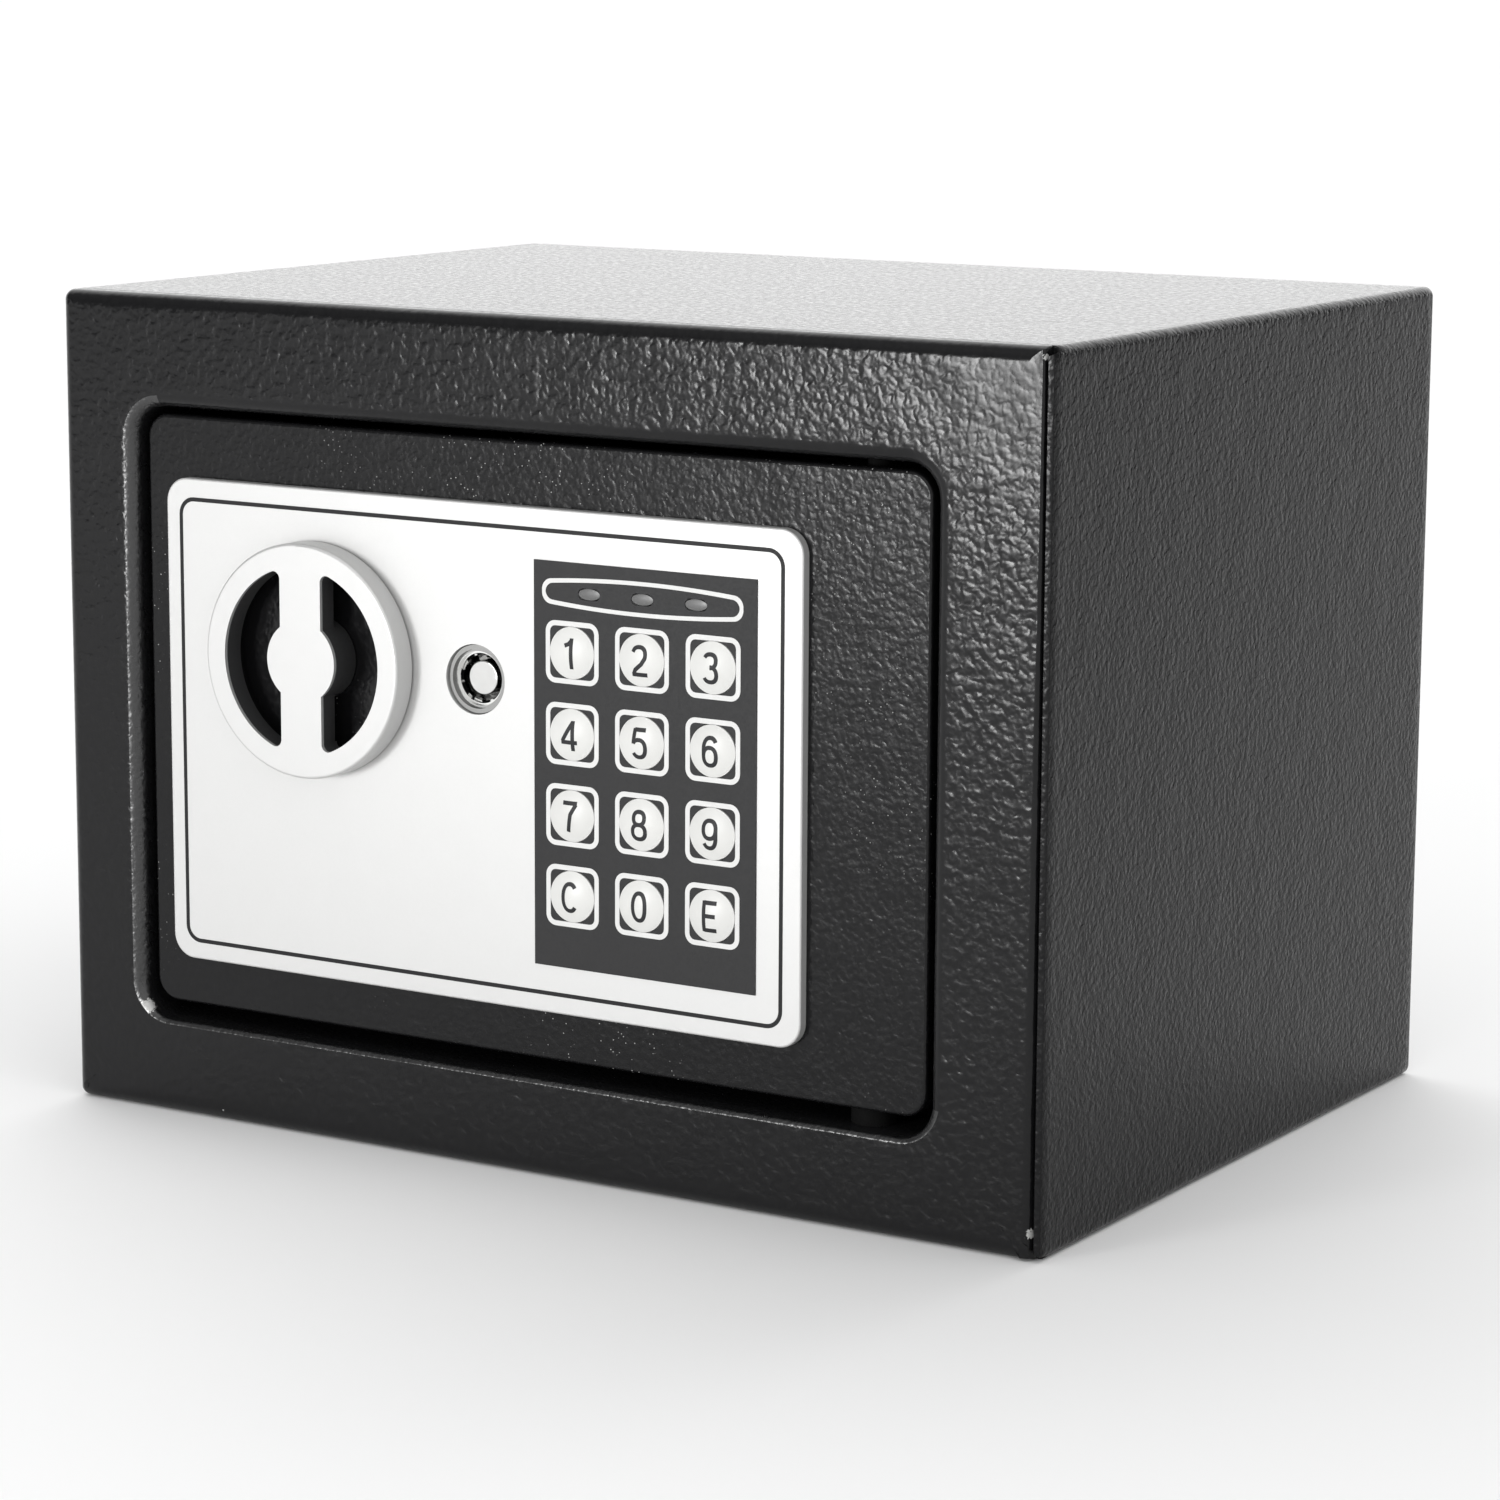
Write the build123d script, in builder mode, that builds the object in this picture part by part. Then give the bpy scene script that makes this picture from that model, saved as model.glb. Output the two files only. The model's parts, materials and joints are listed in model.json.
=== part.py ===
from build123d import *
import os
from math import cos, pi, radians, tan

os.makedirs("parts", exist_ok=True)

# A small electronic safe, in millimetres. The origin is the centre of the base.
# +X is to the right of someone facing the door, +Y is into the safe and +Z is up.
# The door is shut and unlocked: its bolts are drawn in and the knob's bar is upright.

# Case
case_width = 230.0
case_height = 170.0
case_depth = 170.0
sheet = 1.5
case_corner = 2.0
front_y = -case_depth / 2
back_y = case_depth / 2
middle_z = case_height / 2
inner_width = case_width - 2 * sheet
inner_height = case_height - 2 * sheet
inner_corner = case_corner - sheet

# Door opening in the front frame, and the flanges that return into the case from it
opening_width = 187.3
opening_height = 127.5
opening_x = -2.95
opening_z = 83.4
opening_corner = 6.5
flange_depth = 16.0
flange_back = front_y + flange_depth
outer_flange_depth = 12.0
lip_radius = 3.0
frame_edge_radius = 1.0
opening_top = opening_z + opening_height / 2
opening_bottom = opening_z - opening_height / 2

# Anchor holes in the floor and the back, and the mat
anchor_spacing = 120.0
anchor_radius = 5.0
floor_anchor_y = 10.0
back_anchor_z = 90.0
mat_thickness = 2.5
mat_width = 222.0
mat_front = -71.0
mat_back = 82.0

# Door plate
door_width = 183.8
door_height = 122.4
door_x = -3.1
door_z = 84.4
door_corner = 5.0
door_recess = 3.0
plate_thickness = 3.0
plate_front = front_y + door_recess
plate_back = plate_front + plate_thickness
plate_edge_radius = 0.8
door_top = door_z + door_height / 2
door_bottom = door_z - door_height / 2

# Concealed pivot, near the door's right edge
pivot_x = 74.3
pivot_y = -76.0
pin_radius = 2.5
pivot_clearance = 0.05
pin_end_gap = 0.2
bush_plate = 3.0
lug_height = 16.0
lug_width = 10.6
lug_back = -71.0

# Box behind the door plate
box_left = -92.0
box_right = 66.0
box_bottom = 27.0
box_top = 142.0
box_back = -46.0
box_x = (box_left + box_right) / 2
box_z = (box_bottom + box_top) / 2
box_width = box_right - box_left
box_height = box_top - box_bottom
box_corner = 3.0
cover_thickness = 1.2
cover_front = box_back - cover_thickness

# Fascia and keypad
fascia_width = 151.1
fascia_height = 99.7
fascia_x = -13.15
fascia_z = 83.25
fascia_thickness = 2.1
fascia_front = plate_front - fascia_thickness
fascia_corner = 5.0
fascia_edge_radius = 0.4
overlay_width = 50.7
overlay_height = 80.1
overlay_x = 27.1
overlay_z = 83.05
overlay_thickness = 0.25
overlay_front = fascia_front - overlay_thickness
key_radius = 5.1
key_clearance = 0.15
key_pitch_x = 16.05
key_pitch_z = 16.03
keys_x = 26.7
keys_z = 81.45
key_dome = 1.1
key_edge = overlay_front - 0.1
key_back = -83.1
key_neck_radius = 3.5
key_neck_back = -79.6
led_pitch = 12.15
led_z = 117.15
led_length = 5.0
led_width = 2.3
window_width = 46.6
window_height = 71.4
window_z = 84.7
mat_sheet = 1.2
mat_rib = 1.5
board_front = -78.5
board_back = -76.9
board_width = 58.0
board_height = 88.5
board_x = 27.0
board_z = 82.75
post_radius = 2.2
chip_x = 36.0
chip_z = 66.0
chip_leg_pitch = 1.27
buzzer_x = 42.0
buzzer_z = 112.0

# Knob and its drive
knob_x = -51.0
knob_z = 99.0
knob_radius = 23.7
knob_front = -89.6
knob_back = -84.5
knob_rim = 1.0
knob_face = 0.8
knob_inner_radius = 19.0
knob_bar = 10.0
knob_bar_back = -85.1
knob_hub_radius = 8.3
knob_hub_back = -82.3
knob_well_radius = 21.5
spindle_radius = 4.0
spindle_front = -86.0
cam_front = -62.0
cam_back = -59.0
crank_radius = 8.5
crank_pin_radius = 2.5
crank_pin_back = -53.0
half_turn = 45.0
crank_reach = crank_radius * cos(radians(half_turn))
bolt_throw = 2 * crank_reach

# Bolts and their carriage
bolt_radius = 7.0
bolt_y = -61.0
bolt_heights = (52.0, 125.0)
bolt_inner_end = -62.0
carriage_front = -56.0
carriage_back = -54.0
carriage_left = bolt_inner_end
carriage_right = -28.0
carriage_bottom = 44.0
carriage_top = 133.0
carriage_waist = -38.0
lower_lobe_top = 62.0
upper_lobe_bottom = 112.0
guide_x = -48.0
guide_heights = (52.0, 124.0)
guide_radius = 2.5

# Solenoid
solenoid_x = -33.0
solenoid_y = -70.5
solenoid_width = 20.0
solenoid_bottom = 69.0
solenoid_top = 93.0
solenoid_back = -63.5
plunger_radius = 3.0
plunger_tip = 62.3
collar_bottom = 63.5
collar_top = 64.7
plunger_shoulder = 96.0
finger_bottom = 101.3

# Override lock
lock_x = -12.35
lock_z = 98.2
lock_radius = 6.0
lock_back = -62.0
lock_hole_radius = 7.0
plug_radius = 4.95
lock_post_radius = 3.4
lock_cam_reach = 17.0

# Batteries
battery_x = 29.5
battery_z = 71.0
battery_box_length = 59.0
battery_box_height = 61.8
battery_box_front = -66.0
wall = 1.5
cell_radius = 7.1
cell_length = 49.0
cell_pitch = 14.7
cell_y = -57.2
lid_size = 56.0
lid_gap = 0.3

# Reset switch
reset_x = 30.0
reset_z = 125.0
reset_radius = 3.45
reset_clearance = 0.35
reset_out = 1.5

# One size of screw fixes everything inside the door
screw_radius = 1.5
screw_length = 4.4
screw_head_radius = 2.75
screw_head = 1.7
fascia_posts = ((-82.0, 40.0), (-82.0, 127.0), (-8.0, 40.0), (-8.0, 127.0), (59.2, 83.0))
board_screws = ((0.5, 41.0), (53.5, 41.0), (0.5, 124.5), (53.5, 124.5))
solenoid_screws = ((solenoid_x - 6, 81.0), (solenoid_x + 6, 81.0))
cover_screws = tuple((x, z) for x in (-86.5, -13.0, 60.5) for z in (32.5, 136.5))


def facing(y):
    """Plane at depth y that faces the front, drawn on in X and Z."""
    return Plane.XZ.offset(-y)


def rod(x, z, radius, front, back, mode=Mode.ADD):
    """Round rod or hole along Y, between two depths."""
    with BuildSketch(facing(back)) as outline:
        with Locations((x, z)):
            Circle(radius)
    extrude(outline.sketch, amount=back - front, mode=mode)


def slab(x, z, width, height, front, back, corner=0.0, mode=Mode.ADD):
    """Plate or window parallel to the door, between two depths."""
    with BuildSketch(facing(back)) as outline:
        with Locations((x, z)):
            if corner:
                RectangleRounded(width, height, corner)
            else:
                Rectangle(width, height)
    extrude(outline.sketch, amount=back - front, mode=mode)


def column(x, y, radius, bottom, top, mode=Mode.ADD):
    """Round column or hole along Z, between two heights."""
    with BuildSketch(Plane.XY.offset(bottom)) as outline:
        with Locations((x, y)):
            Circle(radius)
    extrude(outline.sketch, amount=top - bottom, mode=mode)


def beam(y, z, radius, left, right, mode=Mode.ADD):
    """Round bar or hole along X, between two ends."""
    with BuildSketch(Plane.YZ.offset(left)) as outline:
        with Locations((y, z)):
            Circle(radius)
    extrude(outline.sketch, amount=right - left, mode=mode)


def block(left, right, front, back, bottom, top, mode=Mode.ADD):
    """Square block between six limits."""
    with BuildSketch(Plane.XY.offset(bottom)) as outline:
        with Locations(((left + right) / 2, (front + back) / 2)):
            Rectangle(right - left, back - front)
    extrude(outline.sketch, amount=top - bottom, mode=mode)


def save(part, name):
    """Label a finished piece and write its STEP file."""
    part.label = name
    export_step(part, f"parts/{name}.step")


# ---------------------------------------------------------------- case

with BuildPart() as case_wrap:
    # floor, sides and top, folded from one sheet
    slab(0, middle_z, case_width, case_height, front_y, back_y, case_corner)
    slab(0, middle_z, inner_width, inner_height, front_y, back_y, inner_corner, Mode.SUBTRACT)
    for side in (-1, 1):
        column(side * anchor_spacing / 2, floor_anchor_y, anchor_radius, 0, sheet, Mode.SUBTRACT)
save(case_wrap.part, "case_wrap")

with BuildPart() as back_panel:
    slab(0, middle_z, inner_width, inner_height, back_y - sheet, back_y, inner_corner)
    for side in (-1, 1):
        hole_x = side * anchor_spacing / 2
        rod(hole_x, back_anchor_z, anchor_radius, back_y - sheet, back_y, Mode.SUBTRACT)
save(back_panel.part, "back_panel")

with BuildPart() as front_frame:
    slab(0, middle_z, inner_width, inner_height, front_y, flange_back, inner_corner)
    slab(opening_x, opening_z, opening_width, opening_height, front_y, flange_back,
         opening_corner, Mode.SUBTRACT)
    # the sheet is hollow behind its face, between the outer and the inner flange
    with BuildSketch(facing(flange_back)):
        with Locations((0, middle_z)):
            Rectangle(inner_width - 2 * sheet, inner_height - 2 * sheet)
        with Locations((opening_x, opening_z)):
            RectangleRounded(opening_width + 2 * sheet, opening_height + 2 * sheet,
                             opening_corner + sheet, mode=Mode.SUBTRACT)
    extrude(amount=flange_depth - sheet, mode=Mode.SUBTRACT)
    # the outer flange is the shorter one
    with BuildSketch(facing(flange_back)):
        with Locations((0, middle_z)):
            Rectangle(inner_width, inner_height)
        with Locations((opening_x, opening_z)):
            RectangleRounded(opening_width + 2 * sheet, opening_height + 2 * sheet,
                             opening_corner + sheet, mode=Mode.SUBTRACT)
    extrude(amount=flange_depth - outer_flange_depth, mode=Mode.SUBTRACT)
    for end in (opening_bottom - sheet, opening_top):
        column(pivot_x, pivot_y, pin_radius + 0.5, end, end + sheet, Mode.SUBTRACT)
    face = front_frame.faces().sort_by(Axis.Y)[0]
    fillet(face.inner_wires()[0].edges(), lip_radius)
    face = front_frame.faces().sort_by(Axis.Y)[0]
    fillet(face.outer_wire().edges(), frame_edge_radius)
save(front_frame.part, "front_frame")

with BuildPart() as hinge_bush_plates:
    # thick plates welded outside the flanges, that carry the pins
    for bottom in (opening_bottom - sheet - bush_plate, opening_top + sheet):
        block(pivot_x - 12, pivot_x + 12, pivot_y - 6, pivot_y + 6, bottom, bottom + bush_plate)
        column(pivot_x, pivot_y, pin_radius + pivot_clearance, bottom, bottom + bush_plate,
               Mode.SUBTRACT)
save(hinge_bush_plates.part, "hinge_bush_plates")

with BuildPart() as floor_mat:
    block(-mat_width / 2, mat_width / 2, mat_front, mat_back, sheet, sheet + mat_thickness)
    for side in (-1, 1):
        column(side * anchor_spacing / 2, floor_anchor_y, anchor_radius + 2, sheet,
               sheet + mat_thickness, Mode.SUBTRACT)
save(floor_mat.part, "floor_mat")

# ---------------------------------------------------------------- door shell

with BuildPart() as door_plate:
    slab(door_x, door_z, door_width, door_height, plate_front, plate_back, door_corner)
    front = door_plate.faces().sort_by(Axis.Y)[0]
    fillet(front.edges(), plate_edge_radius)
    rod(knob_x, knob_z, spindle_radius + 2, plate_front, plate_back, Mode.SUBTRACT)
    rod(lock_x, lock_z, lock_radius, plate_front, plate_back, Mode.SUBTRACT)
    slab(overlay_x, window_z, window_width, window_height, plate_front, plate_back, 2.0,
         Mode.SUBTRACT)
    for x, z in fascia_posts:
        rod(x, z, post_radius, plate_front, plate_back, Mode.SUBTRACT)
    for x, z in board_screws + solenoid_screws:
        rod(x, z, screw_radius, plate_front, plate_back, Mode.SUBTRACT)
save(door_plate.part, "door_plate")

with BuildPart() as door_box:
    slab(box_x, box_z, box_width, box_height, plate_back, cover_front, box_corner)
    slab(box_x, box_z, box_width - 2 * sheet, box_height - 2 * sheet, plate_back, cover_front,
         box_corner - sheet, Mode.SUBTRACT)
    for z in bolt_heights:
        beam(bolt_y, z, bolt_radius + pivot_clearance, box_left, box_left + sheet, Mode.SUBTRACT)
    # tabs that the cover screws into
    for x, z in cover_screws:
        wall_z = box_bottom + sheet if z < box_z else box_top - sheet
        low, high = sorted((wall_z, z))
        block(x - 4.5, x + 4.5, cover_front - sheet, cover_front, low, high)
        rod(x, z, 4.5, cover_front - sheet, cover_front)
        rod(x, z, screw_radius, cover_front - sheet, cover_front, Mode.SUBTRACT)
save(door_box.part, "door_box")

with BuildPart() as inner_cover:
    slab(box_x, box_z, box_width, box_height, cover_front, box_back, box_corner)
    slab(battery_x, battery_z, lid_size, lid_size, cover_front, box_back, 2.0, Mode.SUBTRACT)
    rod(reset_x, reset_z, reset_radius + reset_clearance, cover_front, box_back, Mode.SUBTRACT)
    for x, z in cover_screws:
        rod(x, z, screw_radius, cover_front, box_back, Mode.SUBTRACT)
save(inner_cover.part, "inner_cover")

with BuildPart() as hinge_lugs:
    for bottom, pin_bottom, pin_top in (
        (door_bottom, door_bottom, door_bottom + lug_height - 3),
        (door_top - lug_height, door_top - lug_height + 3, door_top),
    ):
        block(pivot_x - lug_width / 2, pivot_x + lug_width / 2, plate_back, lug_back, bottom,
              bottom + lug_height)
        column(pivot_x, pivot_y, pin_radius, pin_bottom, pin_top, Mode.SUBTRACT)
save(hinge_lugs.part, "hinge_lugs")

with BuildPart() as hinge_pins:
    lower_end = opening_bottom - sheet - bush_plate + pin_end_gap
    upper_end = opening_top + sheet + bush_plate - pin_end_gap
    column(pivot_x, pivot_y, pin_radius, lower_end, door_bottom + lug_height - 3)
    column(pivot_x, pivot_y, pin_radius, door_top - lug_height + 3, upper_end)
    chamfer(hinge_pins.faces().sort_by(Axis.Z)[0].edges(), 0.5)
    chamfer(hinge_pins.faces().sort_by(Axis.Z)[-1].edges(), 0.5)
save(hinge_pins.part, "hinge_pins")

with BuildPart() as hinge_washer:
    # carries the door's weight on the lower flange
    column(pivot_x, pivot_y, 4.5, opening_bottom + 0.03, door_bottom)
    column(pivot_x, pivot_y, pin_radius, opening_bottom, door_bottom, Mode.SUBTRACT)
save(hinge_washer.part, "hinge_washer")

with BuildPart() as door_screws:
    seats = [(x, z, plate_back) for x, z in fascia_posts]
    seats += [(x, z, board_back) for x, z in board_screws]
    seats += [(x, z, plate_back + sheet) for x, z in solenoid_screws]
    seats += [(x, z, box_back) for x, z in cover_screws]
    for x, z, seat in seats:
        rod(x, z, screw_radius, seat - screw_length, seat)
        rod(x, z, screw_head_radius, seat, seat + screw_head)
        slab(x, z, 3.6, 0.7, seat + screw_head - 0.6, seat + screw_head, mode=Mode.SUBTRACT)
        slab(x, z, 0.7, 3.6, seat + screw_head - 0.6, seat + screw_head, mode=Mode.SUBTRACT)
save(door_screws.part, "door_screws")

# ---------------------------------------------------------------- fascia and keypad


def key_places():
    """Name and centre of each key, from the top left."""
    for row, names in enumerate(("123", "456", "789", "c0e")):
        for column_number, name in enumerate(names):
            x = keys_x + (column_number - 1) * key_pitch_x
            z = keys_z + (1.5 - row) * key_pitch_z
            yield name, x, z


def led_places():
    """Centre of each status light, from the left."""
    return [(keys_x + step * led_pitch, led_z) for step in (-1, 0, 1)]


def keypad_holes(front, back):
    """Cut the holes for the keys and the lights through a panel."""
    for _, x, z in key_places():
        rod(x, z, key_radius + key_clearance, front, back, Mode.SUBTRACT)
    with BuildSketch(facing(back)) as lights:
        with Locations(*led_places()):
            SlotOverall(led_length, led_width)
    extrude(lights.sketch, amount=back - front, mode=Mode.SUBTRACT)


with BuildPart() as fascia:
    slab(fascia_x, fascia_z, fascia_width, fascia_height, fascia_front, plate_front,
         fascia_corner)
    front = fascia.faces().sort_by(Axis.Y)[0]
    fillet(front.edges(), fascia_edge_radius)
    for x, z in fascia_posts:
        rod(x, z, post_radius, plate_front, plate_back)
        rod(x, z, screw_radius, plate_back - screw_length, plate_back, Mode.SUBTRACT)
    rod(knob_x, knob_z, knob_well_radius, fascia_front, plate_front, Mode.SUBTRACT)
    rod(lock_x, lock_z, lock_hole_radius, fascia_front, plate_front, Mode.SUBTRACT)
    keypad_holes(fascia_front, plate_front)
save(fascia.part, "fascia")

with BuildPart() as keypad_overlay:
    slab(overlay_x, overlay_z, overlay_width, overlay_height, overlay_front, fascia_front)
    keypad_holes(overlay_front, fascia_front)
save(keypad_overlay.part, "keypad_overlay")

with BuildPart() as led_windows:
    with BuildSketch(facing(plate_front - 0.4)) as lenses:
        with Locations(*led_places()):
            SlotOverall(led_length - 0.1, led_width - 0.1)
    extrude(lenses.sketch, amount=plate_front - 0.4 - overlay_front)
save(led_windows.part, "led_windows")

with BuildPart() as keypad_mat:
    slab(overlay_x, window_z, window_width - 0.2, window_height - 0.2, plate_front, board_front,
         2.0)
    slab(overlay_x, window_z, window_width - 2 * mat_rib, window_height - 2 * mat_rib,
         plate_front + mat_sheet, board_front, mode=Mode.SUBTRACT)
    for _, x, z in key_places():
        rod(x, z, key_neck_radius + 0.4, plate_front, plate_front + mat_sheet, Mode.SUBTRACT)
    for x, z in led_places():
        rod(x, z, 1.8, plate_front, plate_front + mat_sheet, Mode.SUBTRACT)
save(keypad_mat.part, "keypad_mat")

dome_radius = (key_radius**2 + key_dome**2) / (2 * key_dome)
for name, x, z in key_places():
    with BuildPart() as key:
        # domed cap, and the neck that reaches through the mat to its contact
        with BuildSketch(Plane((x, 0, z), x_dir=(1, 0, 0), z_dir=(0, 0, 1))) as half:
            with BuildLine():
                Polyline((0, key_edge - key_dome), (0, key_neck_back),
                         (key_neck_radius, key_neck_back), (key_neck_radius, key_back),
                         (key_radius, key_back), (key_radius, key_edge))
                RadiusArc((key_radius, key_edge), (0, key_edge - key_dome), dome_radius)
            make_face()
        revolve(half.sketch, axis=Axis((x, 0, z), (0, 1, 0)))
    save(key.part, f"key_{name}")

with BuildPart() as keypad_board:
    slab(board_x, board_z, board_width, board_height, board_front, board_back, 1.0)
    for x, z in board_screws:
        rod(x, z, screw_radius, board_front, board_back, Mode.SUBTRACT)
save(keypad_board.part, "keypad_board")

with BuildPart() as status_leds:
    for x, z in led_places():
        rod(x, z, 1.5, plate_front - 0.1, board_front)
    tips = status_leds.faces().filter_by(Axis.Y).group_by(Axis.Y)[0]
    fillet(tips.edges(), 1.2)
save(status_leds.part, "status_leds")

with BuildPart() as controller_chip:
    slab(chip_x, chip_z, 7.5, 10.4, board_back, board_back + 2.2)
    chip = controller_chip.faces().sort_by(Axis.Y)[-1]
    chamfer(chip.edges(), 0.35)
    for side in (-1, 1):
        for step in range(8):
            leg_x = chip_x + side * 4.5
            leg_z = chip_z + (step - 3.5) * chip_leg_pitch
            slab(leg_x, leg_z, 1.5, 0.45, board_back, board_back + 0.8)
save(controller_chip.part, "controller_chip")

with BuildPart() as buzzer:
    rod(buzzer_x, buzzer_z, 6.0, board_back, board_back + 7.0)
    fillet(buzzer.faces().sort_by(Axis.Y)[-1].edges(), 0.6)
    rod(buzzer_x, buzzer_z, 1.0, board_back + 5.5, board_back + 7.0, Mode.SUBTRACT)
save(buzzer.part, "buzzer")

# Side-entry sockets on the board's left edge, and one for the reset switch
battery_socket = (0.0, -73.5, 112.0)
solenoid_socket = (0.0, -73.5, 66.0)
reset_socket = (12.0, -69.9, 118.0)
with BuildPart() as board_connectors:
    for x, y, z in (battery_socket, solenoid_socket):
        block(x, x + 8, board_back, board_back + 5.6, z - 4, z + 4)
    x, y, z = reset_socket
    block(x - 4, x + 4, board_back, y, z - 3, z + 3)
save(board_connectors.part, "board_connectors")

# ---------------------------------------------------------------- knob and drive

with BuildPart() as knob_bush:
    rod(knob_x, knob_z, spindle_radius + 2, plate_front, plate_back)
    rod(knob_x, knob_z, 8.0, plate_back, plate_back + 1.5)
    rod(knob_x, knob_z, spindle_radius + pivot_clearance, plate_front, plate_back + 1.5,
        Mode.SUBTRACT)
save(knob_bush.part, "knob_bush")

grip_corner = 1.5


def grip_windows():
    """Sketch the two D-shaped finger recesses, each side of the bar and its round centre."""
    Circle(knob_inner_radius)
    Rectangle(knob_bar, 2 * knob_radius, mode=Mode.SUBTRACT)
    Circle(knob_hub_radius, mode=Mode.SUBTRACT)


with BuildPart() as knob_bezel:
    # bright cap: a face with the two recesses, and a rim round the side
    with BuildSketch(facing(knob_back)) as outline:
        with Locations((knob_x, knob_z)):
            Circle(knob_radius)
    extrude(outline.sketch, amount=knob_back - knob_front)
    fillet(knob_bezel.faces().sort_by(Axis.Y)[0].edges(), 0.6)
    rod(knob_x, knob_z, knob_radius - knob_rim, knob_front + knob_face, knob_back, Mode.SUBTRACT)
    with BuildSketch(Plane((knob_x, knob_front + knob_face, knob_z), (1, 0, 0), (0, -1, 0))) as d:
        grip_windows()
        fillet([v for v in d.vertices() if abs(v.Y) > knob_hub_radius], grip_corner)
    extrude(d.sketch, amount=knob_face, mode=Mode.SUBTRACT)
save(knob_bezel.part, "knob_bezel")

with BuildPart() as knob_core:
    # dark moulding under the cap: ring, bar and hub
    rod(knob_x, knob_z, knob_radius - knob_rim, knob_front + knob_face, knob_back)
    slab(knob_x, knob_z, knob_bar, 2 * knob_inner_radius, knob_bar_back, knob_back,
         mode=Mode.SUBTRACT)
    with BuildSketch(Plane((knob_x, knob_back, knob_z), (1, 0, 0), (0, -1, 0))) as d:
        grip_windows()
        fillet([v for v in d.vertices() if abs(v.Y) > knob_hub_radius], grip_corner)
    extrude(d.sketch, amount=knob_back - knob_front - knob_face, mode=Mode.SUBTRACT)
    rod(knob_x, knob_z, knob_hub_radius, knob_front + knob_face, knob_hub_back)
    rod(knob_x, knob_z, spindle_radius, spindle_front, knob_hub_back, Mode.SUBTRACT)
save(knob_core.part, "knob_core")

with BuildPart() as knob_spindle:
    rod(knob_x, knob_z, spindle_radius, spindle_front, cam_back)
save(knob_spindle.part, "knob_spindle")

with BuildPart() as spindle_clip:
    clip_front = plate_back + 1.6
    rod(knob_x, knob_z, 6.5, clip_front, clip_front + 0.8)
    rod(knob_x, knob_z, spindle_radius, clip_front, clip_front + 0.8, Mode.SUBTRACT)
    slab(knob_x, knob_z - 6.0, 5.0, 6.0, clip_front, clip_front + 0.8, mode=Mode.SUBTRACT)
save(spindle_clip.part, "spindle_clip")

with BuildPart() as drive_cam:
    # crank on the spindle; its pin drives the carriage's upright slot
    with BuildSketch(facing(cam_back)):
        with Locations((knob_x, knob_z)):
            Circle(8.0)
        with Locations((knob_x + crank_reach, knob_z + crank_reach)):
            Circle(5.0)
        make_hull()
    extrude(amount=cam_back - cam_front)
    rod(knob_x + crank_reach, knob_z + crank_reach, crank_pin_radius, cam_back, crank_pin_back)
    rod(knob_x, knob_z, spindle_radius, cam_front, cam_back, Mode.SUBTRACT)
save(drive_cam.part, "drive_cam")

# ---------------------------------------------------------------- bolts

slot_play = 0.45
with BuildPart() as bolt_carriage:
    # plate across the back, with a flange at its left for the bolts
    with BuildSketch(facing(carriage_back)):
        with BuildLine():
            Polyline((carriage_left, carriage_bottom), (carriage_right, carriage_bottom),
                     (carriage_right, lower_lobe_top), (carriage_waist, lower_lobe_top),
                     (carriage_waist, upper_lobe_bottom), (carriage_right, upper_lobe_bottom),
                     (carriage_right, carriage_top), (carriage_left, carriage_top),
                     (carriage_left, carriage_bottom))
        make_face()
    extrude(amount=carriage_back - carriage_front)
    block(carriage_left, carriage_left + 2, bolt_y - bolt_radius, carriage_back,
          carriage_bottom, carriage_top)
    # tab that the plunger stands behind when the bolts are out
    block(carriage_right - 12, carriage_right, -74, carriage_front, lower_lobe_top - 2,
          lower_lobe_top)
    with BuildSketch(facing(carriage_back)) as slots:
        for z in guide_heights:
            with Locations((guide_x + bolt_throw / 2, z)):
                SlotCenterToCenter(bolt_throw + 0.2, 2 * guide_radius + 0.3)
        slot_low = knob_z + crank_reach - crank_pin_radius - 0.4
        slot_high = knob_z + crank_radius + crank_pin_radius + 0.4
        with Locations((knob_x + crank_reach, (slot_low + slot_high) / 2)):
            Rectangle(2 * (crank_pin_radius + slot_play), slot_high - slot_low)
    extrude(slots.sketch, amount=carriage_back - carriage_front, mode=Mode.SUBTRACT)
    for z in bolt_heights:
        beam(bolt_y, z, 2.5, carriage_left, carriage_left + 2, Mode.SUBTRACT)
save(bolt_carriage.part, "bolt_carriage")

with BuildPart() as lock_bolts:
    for z in bolt_heights:
        beam(bolt_y, z, bolt_radius, box_left, bolt_inner_end)
    chamfer(lock_bolts.faces().filter_by(Axis.X).group_by(Axis.X)[0].edges(), 1.2)
    for z in bolt_heights:
        beam(bolt_y, z, 2.5, bolt_inner_end - 10, bolt_inner_end, Mode.SUBTRACT)
save(lock_bolts.part, "lock_bolts")

with BuildPart() as bolt_screws:
    head_left = carriage_left + 2
    for z in bolt_heights:
        beam(bolt_y, z, 2.5, bolt_inner_end - 10, head_left)
        beam(bolt_y, z, 4.5, head_left, head_left + 3)
        beam(bolt_y, z, 2.0, head_left + 1.2, head_left + 3, Mode.SUBTRACT)
save(bolt_screws.part, "bolt_screws")

with BuildPart() as guide_posts:
    for z in guide_heights:
        rod(guide_x, z, 4.0, plate_back, carriage_front - 0.1)
        rod(guide_x, z, screw_radius, carriage_front - 8, carriage_front - 0.1, Mode.SUBTRACT)
save(guide_posts.part, "guide_posts")

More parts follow.
